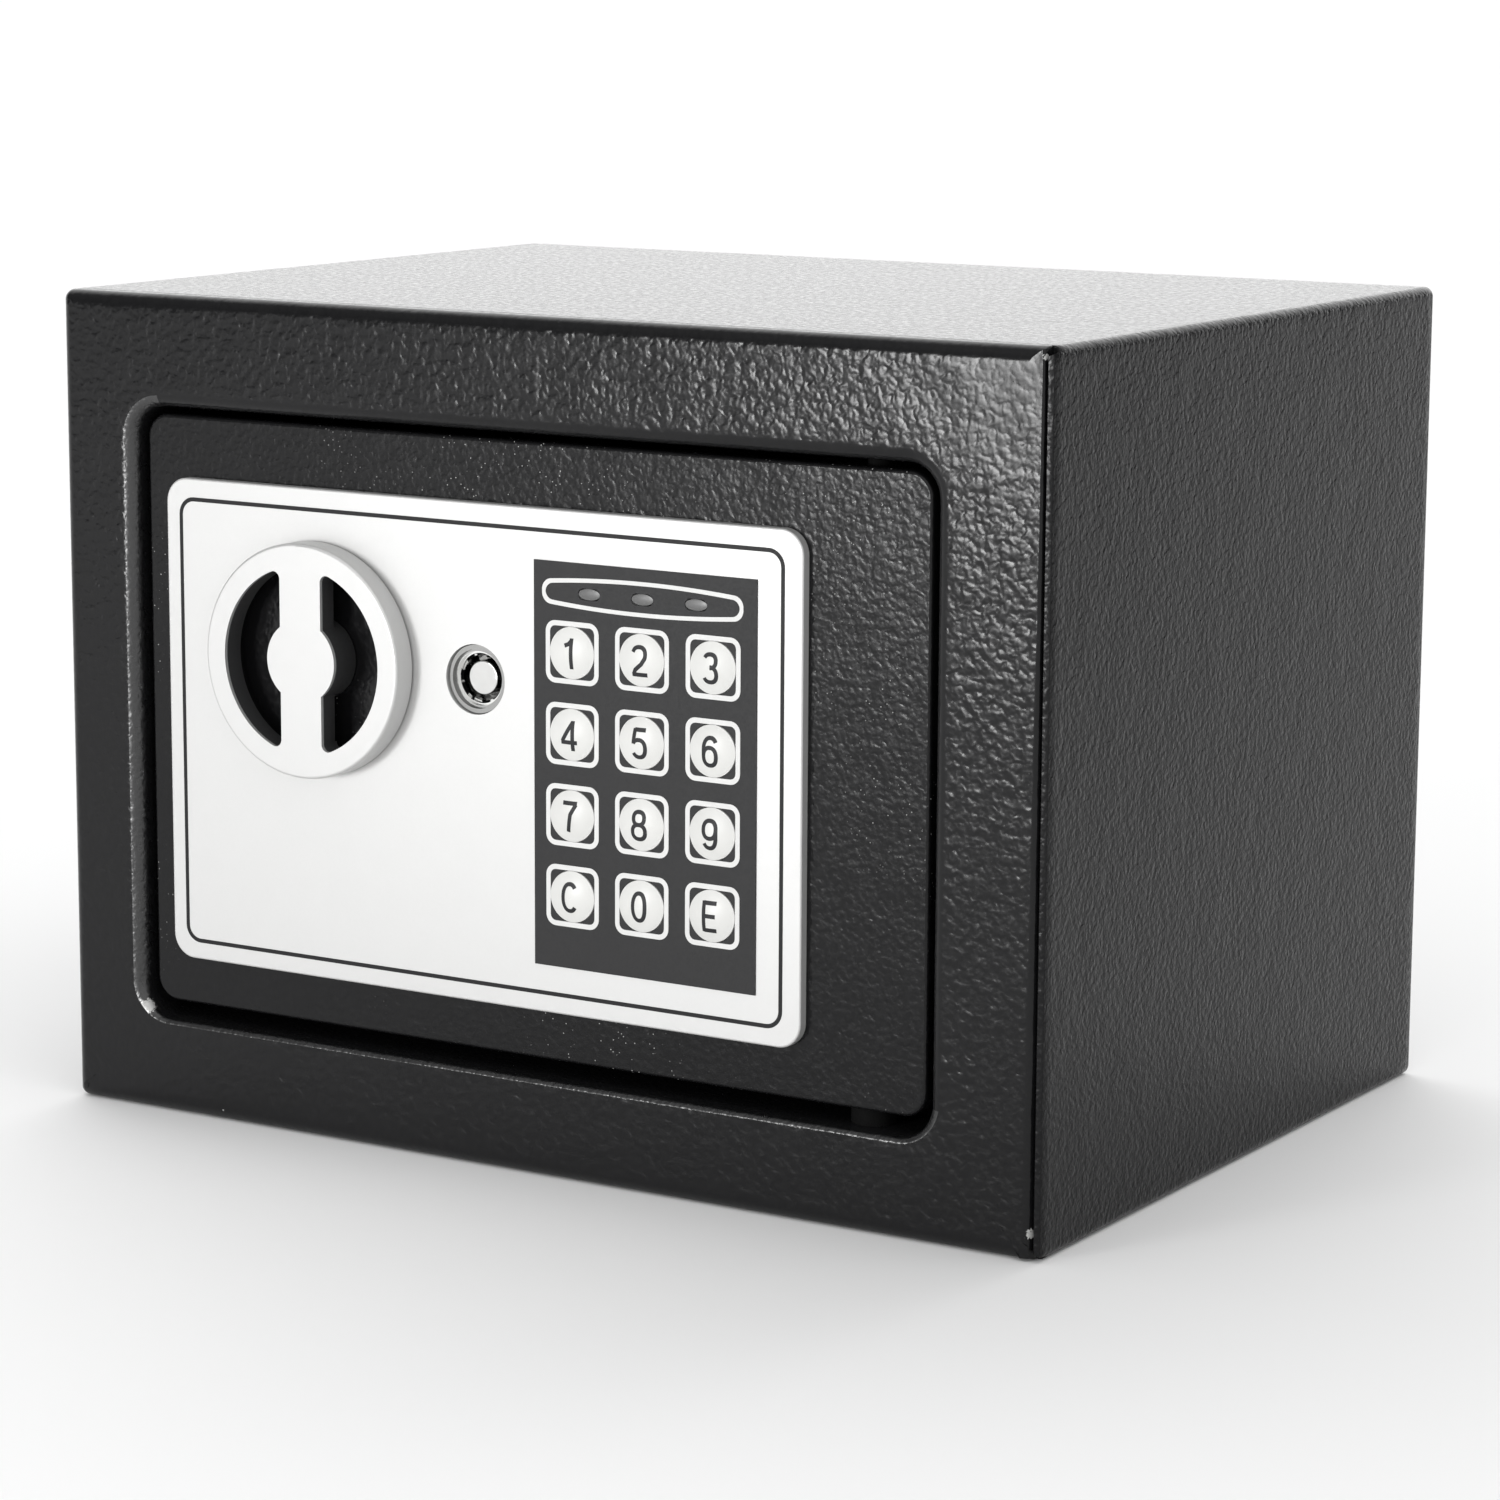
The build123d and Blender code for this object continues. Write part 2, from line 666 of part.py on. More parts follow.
with BuildPart() as guide_screws:
    # shouldered, so that the carriage slides freely under their heads
    for z in guide_heights:
        rod(guide_x, z, screw_radius, carriage_front - 8, carriage_front - 0.1)
        rod(guide_x, z, guide_radius, carriage_front - 0.1, carriage_back + 0.1)
        rod(guide_x, z, 4.5, carriage_back + 0.1, carriage_back + 1.8)
        slab(guide_x, z, 6.0, 0.9, carriage_back + 1.1, carriage_back + 1.8, mode=Mode.SUBTRACT)
save(guide_screws.part, "guide_screws")

# ---------------------------------------------------------------- solenoid

leg = 1.5
with BuildPart() as solenoid_frame:
    left = solenoid_x - solenoid_width / 2
    right = solenoid_x + solenoid_width / 2
    block(left, right, plate_back, plate_back + sheet, solenoid_bottom, solenoid_top)
    for bottom in (solenoid_bottom, solenoid_top - leg):
        block(left + 3, right - 3, plate_back, solenoid_back, bottom, bottom + leg)
        column(solenoid_x, solenoid_y, plunger_radius + 0.1, bottom, bottom + leg, Mode.SUBTRACT)
    for x, z in solenoid_screws:
        rod(x, z, screw_radius, plate_back, plate_back + sheet, Mode.SUBTRACT)
save(solenoid_frame.part, "solenoid_frame")

with BuildPart() as solenoid_coil:
    coil_bottom = solenoid_bottom + leg
    coil_top = solenoid_top - leg
    column(solenoid_x, solenoid_y, 6.0, coil_bottom, coil_top)
    column(solenoid_x, solenoid_y, 6.6, coil_bottom, coil_bottom + 1.2)
    column(solenoid_x, solenoid_y, 6.6, coil_top - 1.2, coil_top)
    column(solenoid_x, solenoid_y, plunger_radius + 0.05, coil_bottom, coil_top, Mode.SUBTRACT)
save(solenoid_coil.part, "solenoid_coil")

with BuildPart() as solenoid_plunger:
    column(solenoid_x, solenoid_y, plunger_radius, plunger_tip + 1, plunger_shoulder)
    column(solenoid_x, solenoid_y, 2.2, plunger_tip, plunger_tip + 1)
    column(solenoid_x, solenoid_y, 4.5, collar_bottom, collar_top)
    column(solenoid_x, solenoid_y, 1.6, plunger_shoulder, finger_bottom)
    # finger that the lock's cam lifts
    block(solenoid_x - 3, solenoid_x + 3, -73.0, -59.0, finger_bottom, finger_bottom + 1.5)
save(solenoid_plunger.part, "solenoid_plunger")

with BuildPart() as plunger_spring:
    spring_wire = 0.25
    spring_height = solenoid_bottom - collar_top - 2 * spring_wire
    spring_foot = (solenoid_x, solenoid_y, collar_top + spring_wire)
    with BuildLine() as turns:
        Helix(spring_height / 4, spring_height, 3.7, center=spring_foot)
    with BuildSketch(Plane(turns.line @ 0, z_dir=turns.line % 0)):
        Circle(spring_wire)
    sweep(path=turns.line, is_frenet=True)
save(plunger_spring.part, "plunger_spring")

# ---------------------------------------------------------------- override lock

with BuildPart() as lock_cylinder:
    # stepped mouth in the fascia's hole, and a threaded barrel through the plate
    mouth_front = fascia_front + 0.7
    rod(lock_x, lock_z, 6.8, mouth_front, plate_front)
    rod(lock_x, lock_z, lock_radius, plate_front, lock_back)
    rod(lock_x, lock_z, 5.9, mouth_front, mouth_front + 0.7, Mode.SUBTRACT)
    rod(lock_x, lock_z, 5.4, mouth_front + 0.7, mouth_front + 1.4, Mode.SUBTRACT)
    rod(lock_x, lock_z, plug_radius + pivot_clearance, mouth_front + 1.4, lock_back,
        Mode.SUBTRACT)
save(lock_cylinder.part, "lock_cylinder")

with BuildPart() as lock_nut:
    with BuildSketch(facing(plate_back + 3)):
        with Locations((lock_x, lock_z)):
            RegularPolygon(8.5, 6)
            Circle(lock_radius, mode=Mode.SUBTRACT)
    extrude(amount=3)
save(lock_nut.part, "lock_nut")

cam_face = lock_back + 2.0
with BuildPart() as lock_plug:
    # the key pushes into the ring-shaped slot round the post
    plug_front = mouth_front + 2.0
    rod(lock_x, lock_z, plug_radius, plug_front, lock_back + 0.1)
    rod(lock_x, lock_z, plug_radius - 0.35, plug_front, plug_front + 5, Mode.SUBTRACT)
    rod(lock_x, lock_z, lock_post_radius, plug_front, plug_front + 5)
    post_end = lock_plug.faces().filter_by(Axis.Y).group_by(Axis.Y)[0].sort_by(SortBy.AREA)[-1]
    fillet(post_end.edges(), 0.25)
    slab(lock_x, lock_z, 4.0, 4.0, lock_back + 0.1, cam_face)
    rod(lock_x, lock_z, 1.5, cam_face, cam_face + 3)
save(lock_plug.part, "lock_plug")

with BuildPart() as lock_cam:
    with BuildSketch(facing(cam_face)):
        with Locations((lock_x, lock_z)):
            Circle(5.5)
        with Locations((lock_x, lock_z - lock_cam_reach)):
            Circle(2.0)
        make_hull()
        with Locations((lock_x, lock_z)):
            Rectangle(4.0, 4.0, mode=Mode.SUBTRACT)
    extrude(amount=1.8)
save(lock_cam.part, "lock_cam")

with BuildPart() as lock_cam_nut:
    with BuildSketch(facing(cam_face + 2.4)):
        with Locations((lock_x, lock_z)):
            RegularPolygon(3.2, 6)
            Circle(1.5, mode=Mode.SUBTRACT)
    extrude(amount=2.4)
save(lock_cam_nut.part, "lock_cam_nut")

# ---------------------------------------------------------------- batteries and reset

with BuildPart() as battery_box:
    slab(battery_x, battery_z, battery_box_length, battery_box_height, battery_box_front,
         cover_front, 1.5)
    slab(battery_x, battery_z, battery_box_length - 2 * wall, battery_box_height - 2 * wall,
         battery_box_front + wall, cover_front, mode=Mode.SUBTRACT)
    # low ribs between the cells
    for step in (-1, 0, 1):
        rib_z = battery_z + step * cell_pitch
        slab(battery_x, rib_z, battery_box_length - 2 * wall - 16, 1.2,
             battery_box_front + wall, cell_y - 3.4)
save(battery_box.part, "battery_box")

cell_left = battery_x - battery_box_length / 2 + wall + 0.4
cell_right = battery_x + battery_box_length / 2 - wall - 0.4
nub = 1.2
spring_room = cell_right - cell_left - cell_length - nub
with BuildPart() as batteries:
    for number in range(4):
        z = battery_z + (number - 1.5) * cell_pitch
        nub_left = number % 2 == 0
        left = cell_left + nub if nub_left else cell_left + spring_room
        beam(cell_y, z, cell_radius, left, left + cell_length)
        if nub_left:
            beam(cell_y, z, 2.7, left - nub, left)
        else:
            beam(cell_y, z, 2.7, left + cell_length, left + cell_length + nub)
save(batteries.part, "batteries")

contact_wire = 0.35
with BuildPart() as battery_contacts:
    for number in range(4):
        z = battery_z + (number - 1.5) * cell_pitch
        for left in (cell_left - 0.4, cell_right):
            block(left, left + 0.4, cell_y - 5, cell_y + 5, z - 5, z + 5)
        nub_left = number % 2 == 0
        start = cell_right - spring_room + contact_wire if nub_left else cell_left + contact_wire
        height = spring_room - 2 * contact_wire
        with BuildLine() as turns:
            Helix(height / 3, height, 3.0, center=(start, cell_y, z), direction=(1, 0, 0))
        with BuildSketch(Plane(turns.line @ 0, z_dir=turns.line % 0)):
            Circle(contact_wire)
        sweep(path=turns.line, is_frenet=True)
save(battery_contacts.part, "battery_contacts")

with BuildPart() as battery_lid:
    lid_side = lid_size - 2 * lid_gap
    slab(battery_x, battery_z, lid_side, lid_side, cover_front, box_back, 1.8)
    # grooved thumb grip
    for step in range(5):
        groove_z = battery_z + (step - 2) * 2.4
        slab(battery_x + 20, groove_z, 10.0, 1.0, box_back - 0.5, box_back, mode=Mode.SUBTRACT)
save(battery_lid.part, "battery_lid")

with BuildPart() as reset_switch:
    slab(reset_x, reset_z, 12.0, 12.0, cover_front - 8, cover_front)
    rod(reset_x, reset_z, reset_radius + pivot_clearance, cover_front - 4, cover_front,
        Mode.SUBTRACT)
save(reset_switch.part, "reset_switch")

with BuildPart() as reset_button:
    rod(reset_x, reset_z, reset_radius, cover_front - 2.2, box_back + reset_out)
    fillet(reset_button.faces().sort_by(Axis.Y)[-1].edges(), 0.6)
save(reset_button.part, "reset_button")

# ---------------------------------------------------------------- leads

lead_radius = 0.9
lead_routes = {
    "battery": [(0.0, -57.0, 98.0), (-3.5, -57.0, 98.0), (-5.0, -61.0, 103.0),
                (-5.0, -68.0, 109.0), (-3.5, -73.5, 112.0), battery_socket],
    "solenoid": [(-27.0, -70.5, 80.0), (-22.5, -70.5, 80.0), (-17.0, -69.0, 77.5),
                 (-10.0, -70.0, 71.0), (-4.5, -73.5, 66.0), solenoid_socket],
    "reset": [(28.0, -55.2, 127.0), (28.0, -58.5, 127.0), (24.0, -62.5, 125.0),
              (16.0, -64.5, 120.0), (12.0, -66.5, 118.0), reset_socket],
}


def route_radii(points):
    """As large an arc at each inner point as its two runs allow."""
    radii = []
    for before, here, after in zip(points, points[1:], points[2:]):
        run_in = Vector(*here) - Vector(*before)
        run_out = Vector(*after) - Vector(*here)
        half_angle = radians(run_in.get_angle(run_out)) / 2
        radii.append(0.45 * min(run_in.length, run_out.length) / tan(half_angle))
    return radii


with BuildPart() as wiring_leads:
    for name, points in lead_routes.items():
        radii = route_radii(points)
        with BuildLine() as route:
            FilletPolyline(*points, radius=radii)
        path = route.wire()
        with BuildSketch(Plane(path @ 0, z_dir=path % 0)):
            Circle(lead_radius)
        sweep(path=path)
        print(f"{name} lead: {path.length:.1f} mm long, radii",
              ", ".join(f"{radius:.1f}" for radius in radii))
    lead_length = sum(solid.volume for solid in wiring_leads.solids()) / (pi * lead_radius**2)
    print(f"leads by volume: {lead_length:.1f} mm")
save(wiring_leads.part, "wiring_leads")
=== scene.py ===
import json
import math

import bmesh
import bpy
from mathutils import Matrix, Vector, noise


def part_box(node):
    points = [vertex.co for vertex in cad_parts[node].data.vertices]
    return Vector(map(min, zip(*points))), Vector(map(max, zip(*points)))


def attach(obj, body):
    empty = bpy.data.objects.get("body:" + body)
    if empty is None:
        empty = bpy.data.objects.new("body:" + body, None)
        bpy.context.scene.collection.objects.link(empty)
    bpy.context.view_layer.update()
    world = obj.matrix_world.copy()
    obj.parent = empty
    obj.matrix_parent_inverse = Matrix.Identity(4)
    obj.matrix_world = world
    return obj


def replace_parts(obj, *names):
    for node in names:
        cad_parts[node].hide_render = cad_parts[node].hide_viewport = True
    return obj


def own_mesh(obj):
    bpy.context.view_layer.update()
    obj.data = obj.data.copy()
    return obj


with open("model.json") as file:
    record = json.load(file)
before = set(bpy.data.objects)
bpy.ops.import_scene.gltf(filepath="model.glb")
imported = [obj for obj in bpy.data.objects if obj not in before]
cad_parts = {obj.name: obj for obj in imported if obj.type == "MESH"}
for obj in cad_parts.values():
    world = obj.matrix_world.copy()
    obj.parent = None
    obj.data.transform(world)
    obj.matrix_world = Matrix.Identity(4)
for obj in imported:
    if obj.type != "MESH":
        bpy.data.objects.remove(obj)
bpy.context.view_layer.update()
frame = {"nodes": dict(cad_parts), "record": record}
NODES = frame["nodes"]
MM = 0.001

# Places on the safe are in millimetres, with X to the right, Y into the safe and Z up.
# The lights and the camera are placed in metres.


def corners(node):
    """Lowest and highest corner of a CAD node, in millimetres."""
    low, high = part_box(node)
    return Vector(low) / MM, Vector(high) / MM


def middle(node):
    low, high = corners(node)
    return (low + high) / 2


WRAP_LOW, WRAP_HIGH = corners("case_wrap")
FASCIA_LOW = corners("fascia")[0]
OVERLAY_LOW = corners("keypad_overlay")[0]
MAT_LOW, MAT_HIGH = corners("floor_mat")
FRAME_HIGH = corners("front_frame")[1]
SHEET = 1.5  # thickness of the case's steel
CASE_CORNER = 2.0
OPENING_CENTRE = (-2.95, 83.4)
OPENING_SIZE = (187.3, 127.5)
OPENING_CORNER = 6.5


# ---------------------------------------------------------------- material tools

MIX_COLORS = (6, 7)  # a Mix node's two colour inputs
MIX_RESULT = 2  # and its colour output


class Material:
    """A node material: one Principled shader, with helpers that add and join nodes."""

    def __init__(self, name, color, roughness, **sockets):
        self.data = bpy.data.materials.new(name)
        self.data.use_nodes = True
        self.nodes = self.data.node_tree.nodes
        self.links = self.data.node_tree.links
        self.shader = self.nodes["Principled BSDF"]
        self.set("Base Color", (*color, 1.0))
        self.set("Roughness", roughness)
        for socket, value in sockets.items():
            self.set(socket.replace("_", " "), value)
        self.position = self.add("ShaderNodeTexCoord").outputs["Object"]
        self.normal = None

    def set(self, socket, value):
        self.shader.inputs[socket].default_value = value

    def add(self, kind, **values):
        node = self.nodes.new(kind)
        for name, value in values.items():
            if name in node.inputs:
                node.inputs[name].default_value = value
            else:
                setattr(node, name, value)
        return node

    def join(self, output, node, socket):
        self.links.new(output, node.inputs[socket])

    def noise(self, scale, detail=2.0, roughness=0.5, distortion=0.0, stretch=(1, 1, 1)):
        """Value from 0 to 1 that wanders over the surface; scale is cells per metre."""
        place = self.add("ShaderNodeMapping", Scale=stretch)
        self.join(self.position, place, "Vector")
        node = self.add("ShaderNodeTexNoise", Scale=scale, Detail=detail, Roughness=roughness,
                        Distortion=distortion)
        self.join(place.outputs["Vector"], node, "Vector")
        return node.outputs["Fac"]

    def cells(self, scale):
        """Distance from the nearest of many scattered points; scale is points per metre."""
        node = self.add("ShaderNodeTexVoronoi", Scale=scale)
        self.join(self.position, node, "Vector")
        return node.outputs["Distance"]

    def distance(self, place):
        """Distance in metres from a place given in millimetres."""
        node = self.add("ShaderNodeVectorMath", operation="DISTANCE")
        self.join(self.position, node, 0)
        node.inputs[1].default_value = Vector(place) * MM
        return node.outputs["Value"]

    def radius(self, x, z):
        """Distance in metres from a line along Y, given in millimetres."""
        flat = self.add("ShaderNodeVectorMath", operation="MULTIPLY")
        self.join(self.position, flat, 0)
        flat.inputs[1].default_value = (1, 0, 1)
        node = self.add("ShaderNodeVectorMath", operation="DISTANCE")
        self.join(flat.outputs["Vector"], node, 0)
        node.inputs[1].default_value = Vector((x, 0, z)) * MM
        return node.outputs["Value"]

    def remap(self, value, low, high, to_low, to_high):
        """The value, with low to high stretched to to_low to to_high, and no further."""
        node = self.add("ShaderNodeMapRange")
        for socket, number in zip(("From Min", "From Max", "To Min", "To Max"),
                                  (low, high, to_low, to_high)):
            node.inputs[socket].default_value = number
        self.join(value, node, "Value")
        return node.outputs["Result"]

    def math(self, operation, a, b):
        """One Math node; each of its operands is a number or an output."""
        node = self.add("ShaderNodeMath", operation=operation)
        for index, value in enumerate((a, b)):
            if isinstance(value, (int, float)):
                node.inputs[index].default_value = value
            else:
                self.links.new(value, node.inputs[index])
        return node.outputs["Value"]

    def blend_colors(self, factor, first, second):
        """From the first colour at factor 0 to the second at 1."""
        node = self.add("ShaderNodeMix", data_type="RGBA")
        self.join(factor, node, 0)
        for index, color in zip(MIX_COLORS, (first, second)):
            node.inputs[index].default_value = (*color, 1.0)
        return node.outputs[MIX_RESULT]

    def color(self, output):
        self.join(output, self.shader, "Base Color")

    def roughness(self, output):
        self.join(output, self.shader, "Roughness")

    def bump(self, height, depth, strength=1.0):
        """Raise the surface by height times depth, on top of any bump before it."""
        node = self.add("ShaderNodeBump", Strength=strength, Distance=depth)
        self.join(height, node, "Height")
        if self.normal:
            self.join(self.normal, node, "Normal")
        self.normal = node.outputs["Normal"]
        self.join(self.normal, self.shader, "Normal")


COAT_BLACK = (0.006, 0.006, 0.0065)
BARE_STEEL_AND_GLINT = (0.42, 0.42, 0.41)  # steel under the coat where it is chipped, and the colour of the painted glints
SAG_CELLS = 95
SAG_DEPTH = 0.3
# Painted glints: how finely the grey specks are strewn, and the patches that hold them.
GLINT_SPECK_CELLS = 850
GLINT_PATCH_CELLS = 30
RAGGED_CELLS = 2600


def powder_coat(name, grain, depth, gloss, shine=0.25, glint_share=0.0, chips=(), calm=None):
    """Black wrinkled powder coat, with painted glints: grey specks in its colour that stand for the
    sparkle of light off its grain, which glint_share strews more widely. chips are places (x, y, z,
    radius), in millimetres, where it is knocked off an edge; calm is a place (x, y, z, inside,
    outside) where the coat has flowed smooth, and how far that reaches."""
    coat = Material(name, COAT_BLACK, gloss, Specular_IOR_Level=shine)
    peel = coat.noise(grain, detail=1.0, roughness=0.4, distortion=0.2)
    height = peel
    if calm:
        reach = coat.remap(coat.distance(calm[:3]), calm[3] * MM, calm[4] * MM, 0.3, 1.0)
        height = coat.math("MULTIPLY", peel, reach)
    coat.bump(coat.noise(SAG_CELLS, detail=1.0), SAG_DEPTH * MM, 0.5)
    coat.bump(height, depth * MM, 1.0)
    coat.roughness(coat.remap(peel, 0.3, 0.7, gloss - 0.05, gloss + 0.05))
    # Painted glints: grey specks in patches, which stand for the sparkle of light off the coat's
    # grain.
    glint_speck = coat.remap(coat.cells(GLINT_SPECK_CELLS), 0.07, 0.12, 1.0, 0.0)
    glint_patch = coat.remap(coat.noise(GLINT_PATCH_CELLS, detail=1.0), 0.78 - glint_share, 0.90 - glint_share, 0.0, 1.0)
    glint_and_chip_mask = coat.math("MULTIPLY", glint_speck, glint_patch)
    ragged = coat.noise(RAGGED_CELLS, detail=3.0)
    for x, y, z, radius in chips:
        edge = coat.math("MULTIPLY", ragged, 2 * radius * MM)
        chip = coat.math("LESS_THAN", coat.distance((x, y, z)), edge)
        glint_and_chip_mask = coat.math("MAXIMUM", glint_and_chip_mask, chip)
    coat.color(coat.blend_colors(glint_and_chip_mask, COAT_BLACK, BARE_STEEL_AND_GLINT))
    return coat.data


MOTTLE_TO_GRAIN = 12


def simple(name, color, roughness, grain=400, depth=0.02, spread=0.06, mottle=0.1, **sockets):
    """Moulded or plated surface: fine grain in its height, roughness and colour."""
    made = Material(name, color, roughness, **sockets)
    grain_value = made.noise(grain, detail=3.0)
    made.roughness(made.remap(grain_value, 0.3, 0.7, roughness - spread, roughness + spread))
    darker = tuple((1 - mottle) * part for part in color)
    mottling = made.noise(grain / MOTTLE_TO_GRAIN, detail=2.0)
    made.color(made.blend_colors(mottling, darker, color))
    made.bump(grain_value, depth * MM, 0.5)
    return made.data


FINISHES = {
    "mat_felt": dict(color=(0.045, 0.045, 0.048), roughness=0.95, grain=1600, depth=0.6,
                     Sheen_Weight=0.3),
    "zinc_steel": dict(color=(0.62, 0.62, 0.60), roughness=0.32, Metallic=1.0),
    "bolt_steel": dict(color=(0.66, 0.66, 0.66), roughness=0.22, Metallic=1.0),
    "fascia_silver": dict(color=(0.575, 0.575, 0.57), roughness=0.42, grain=1800, depth=0.01,
                          mottle=0.02, Metallic=0.45),
    "overlay_grey": dict(color=(0.015, 0.015, 0.016), roughness=0.5, grain=2200,
                         Specular_IOR_Level=0.3),
    "led_lens": dict(color=(0.11, 0.11, 0.11), roughness=0.34, depth=0.004),
    "key_white": dict(color=(0.70, 0.70, 0.68), roughness=0.38, grain=1500, depth=0.01),
    "board_green": dict(color=(0.015, 0.13, 0.05), roughness=0.35),
    "black_plastic": dict(color=(0.012, 0.012, 0.013), roughness=0.4, grain=1500),
    "connector_white": dict(color=(0.75, 0.72, 0.65), roughness=0.5),
    "lid_black": dict(color=(0.02, 0.02, 0.021), roughness=0.5, grain=1800, depth=0.06),
    "bush_brass": dict(color=(0.72, 0.52, 0.24), roughness=0.3, Metallic=1.0),
    "knob_silver": dict(color=(0.59, 0.59, 0.585), roughness=0.36, grain=2000, depth=0.01,
                        mottle=0.03, Metallic=0.45),
    "coil_tape": dict(color=(0.5, 0.36, 0.05), roughness=0.4),
    "lock_chrome": dict(color=(0.56, 0.56, 0.555), roughness=0.14, Metallic=1.0, spread=0.03),
    "cell_sleeve": dict(color=(0.05, 0.05, 0.055), roughness=0.3),
    "button_red": dict(color=(0.55, 0.015, 0.015), roughness=0.3),
    "lead_pvc": dict(color=(0.45, 0.02, 0.02), roughness=0.45),
}
MATERIALS = {name: simple(name, **finish) for name, finish in FINISHES.items()}
MATERIALS["black_powder_coat"] = powder_coat("black_powder_coat", 800, 0.15, 0.24, shine=0.17)
FRAME_COAT = powder_coat("frame_coat", 600, 0.17, 0.2, calm=(110, -85, 168, 3, 32))
BEND_COAT = powder_coat("bend_coat", 700, 0.06, 0.2,
                        chips=((112.9, -84.4, 5.4, 1.0), (112.9, -84.4, 168.2, 0.6),
                               (-76.0, -85.0, 2.6, 0.4)))
LIP_COAT = powder_coat("lip_coat", 1000, 0.16, 0.32, shine=0.85,
                       chips=((-95.9, -84.3, 21.6, 1.5),))
SIDE_COAT = powder_coat("side_coat", 900, 0.24, 0.24, shine=0.14)
# The door plate carries more painted glints than the rest of the coat.
DOOR_COAT = powder_coat("door_coat", 820, 0.10, 0.21, shine=0.22, glint_share=0.26)
INK_BLACK = simple("ink_black", (0.006, 0.006, 0.007), 0.45, grain=2500,
                   Specular_IOR_Level=0.25)
INK_WHITE = simple("ink_white", (0.70, 0.70, 0.69), 0.5, grain=2500)
INK_DIGIT = simple("ink_digit", (0.016, 0.016, 0.018), 0.5, grain=2500,
                   Specular_IOR_Level=0.3)
LOCK_POST = 3.5
LOCK_MOUTH = 5.45
LOCK_EDGE = 0.03


def lock_metal(name, edge, inside, outside, glint_flecks):
    """Plated brass of one colour out to a radius in millimetres and another beyond it. The larger
    glint_flecks, the more painted glints break the outer colour back to the inner one."""
    metal = Material(name, inside, 0.14, Metallic=1.0)
    centre = middle("lock_plug")
    beyond = metal.remap(metal.radius(centre.x, centre.z),
                         (edge - LOCK_EDGE) * MM, (edge + LOCK_EDGE) * MM, 0.0, 1.0)
    if glint_flecks:
        # Painted glints: spots where the outer colour gives way to the inner one.
        unglinted = metal.remap(metal.noise(420, detail=2.0), 1 - glint_flecks, 1.03 - glint_flecks, 1.0, 0.0)
        beyond = metal.math("MULTIPLY", beyond, unglinted)
    metal.color(metal.blend_colors(beyond, inside, outside))
    metal.roughness(metal.remap(metal.noise(700, detail=3.0), 0.3, 0.7, 0.11, 0.17))
    return metal.data


# On the plug, the near-black beyond the post is painted shade in the keyway, and its scattered
# bright spots are painted glints of chrome.
LOCK_PLUG_SHADE_AND_GLINTS = lock_metal("lock_plug", LOCK_POST, (0.62, 0.62, 0.61), (0.004, 0.004, 0.004),
                       glint_flecks=0.5)
LOCK_MOUTH_METAL = lock_metal("lock_mouth", LOCK_MOUTH, (0.74, 0.74, 0.73), (0.34, 0.34, 0.335),
                              glint_flecks=0)
KNOB_BLACK = simple("knob_black", (0.040, 0.040, 0.041), 0.5, grain=1600, depth=0.03)
HINGE_PAINT = simple("hinge_paint", (0.004, 0.004, 0.004), 0.85, Specular_IOR_Level=0.1)
SLOTS = {part["node"]: part["material_slot"] for part in frame["record"]["subparts"]}


def dress_cad_nodes():
    """Give every CAD node the procedural material of its slot, or one of its own."""
    for name, node in NODES.items():
        node.data.materials.clear()
        node.data.materials.append(MATERIALS[SLOTS[name]])
    for name in ("hinge_pins", "hinge_washer"):
        NODES[name].data.materials[0] = HINGE_PAINT
    NODES["door_plate"].data.materials[0] = DOOR_COAT
    NODES["knob_core"].data.materials[0] = KNOB_BLACK
    NODES["lock_plug"].data.materials[0] = LOCK_PLUG_SHADE_AND_GLINTS
    NODES["lock_cylinder"].data.materials[0] = LOCK_MOUTH_METAL


# ---------------------------------------------------------------- mesh tools


def make_piece(name, points, faces, material, body, smooth=35):
    """A mesh piece from points in millimetres, riding on a CAD body."""
    mesh = bpy.data.meshes.new(name)
    mesh.from_pydata([Vector(point) * MM for point in points], [], faces)
    work = bmesh.new()
    work.from_mesh(mesh)
    bmesh.ops.recalc_face_normals(work, faces=work.faces)
    work.to_mesh(mesh)
    work.free()
    mesh.shade_smooth()
    mesh.set_sharp_from_angle(angle=math.radians(smooth))
    mesh.materials.append(material)
    piece = bpy.data.objects.new(name, mesh)
    bpy.context.scene.collection.objects.link(piece)
    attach(piece, body)
    return piece


def torus_faces(stations, around):
    """Quads that join closed sections, station to station and back to the first."""
    return [(i * around + j, i * around + (j + 1) % around,
             (i + 1) % stations * around + (j + 1) % around, (i + 1) % stations * around + j)
            for i in range(stations) for j in range(around)]


def tube_faces(stations, around):
    """Quads that join closed sections along an open path, with its two ends closed."""
    joined = [face for face in torus_faces(stations, around)
              if max(face) - min(face) < 2 * around]
    return joined + [tuple(range(around)), tuple(range((stations - 1) * around,
                                                       stations * around))]


def rounded_loop(centre, size, radii, side_steps, corner_steps=8):
    """Points (x, z) and outward normals round a rectangle, from the top right corner on,
    anticlockwise. radii gives its corners: top right, top left, bottom left, bottom right."""
    half_x, half_z = size[0] / 2, size[1] / 2
    signs = ((1, 1), (-1, 1), (-1, -1), (1, -1))
    arcs = []
    for quarter, ((sign_x, sign_z), radius) in enumerate(zip(signs, radii)):
        hub = Vector((centre[0] + sign_x * (half_x - radius),
                      centre[1] + sign_z * (half_z - radius)))
        arc = []
        for step in range(corner_steps + 1):
            angle = math.radians(90 * (quarter + step / corner_steps))
            normal = Vector((math.cos(angle), math.sin(angle)))
            arc.append((hub + radius * normal, normal))
        arcs.append(arc)
    loop = []
    for quarter, arc in enumerate(arcs):
        following = arcs[(quarter + 1) % 4]
        loop += arc
        start, normal = arc[-1]
        end = following[0][0]
        steps = side_steps[quarter % 2]
        loop += [(start.lerp(end, step / steps), normal) for step in range(1, steps)]
    return loop


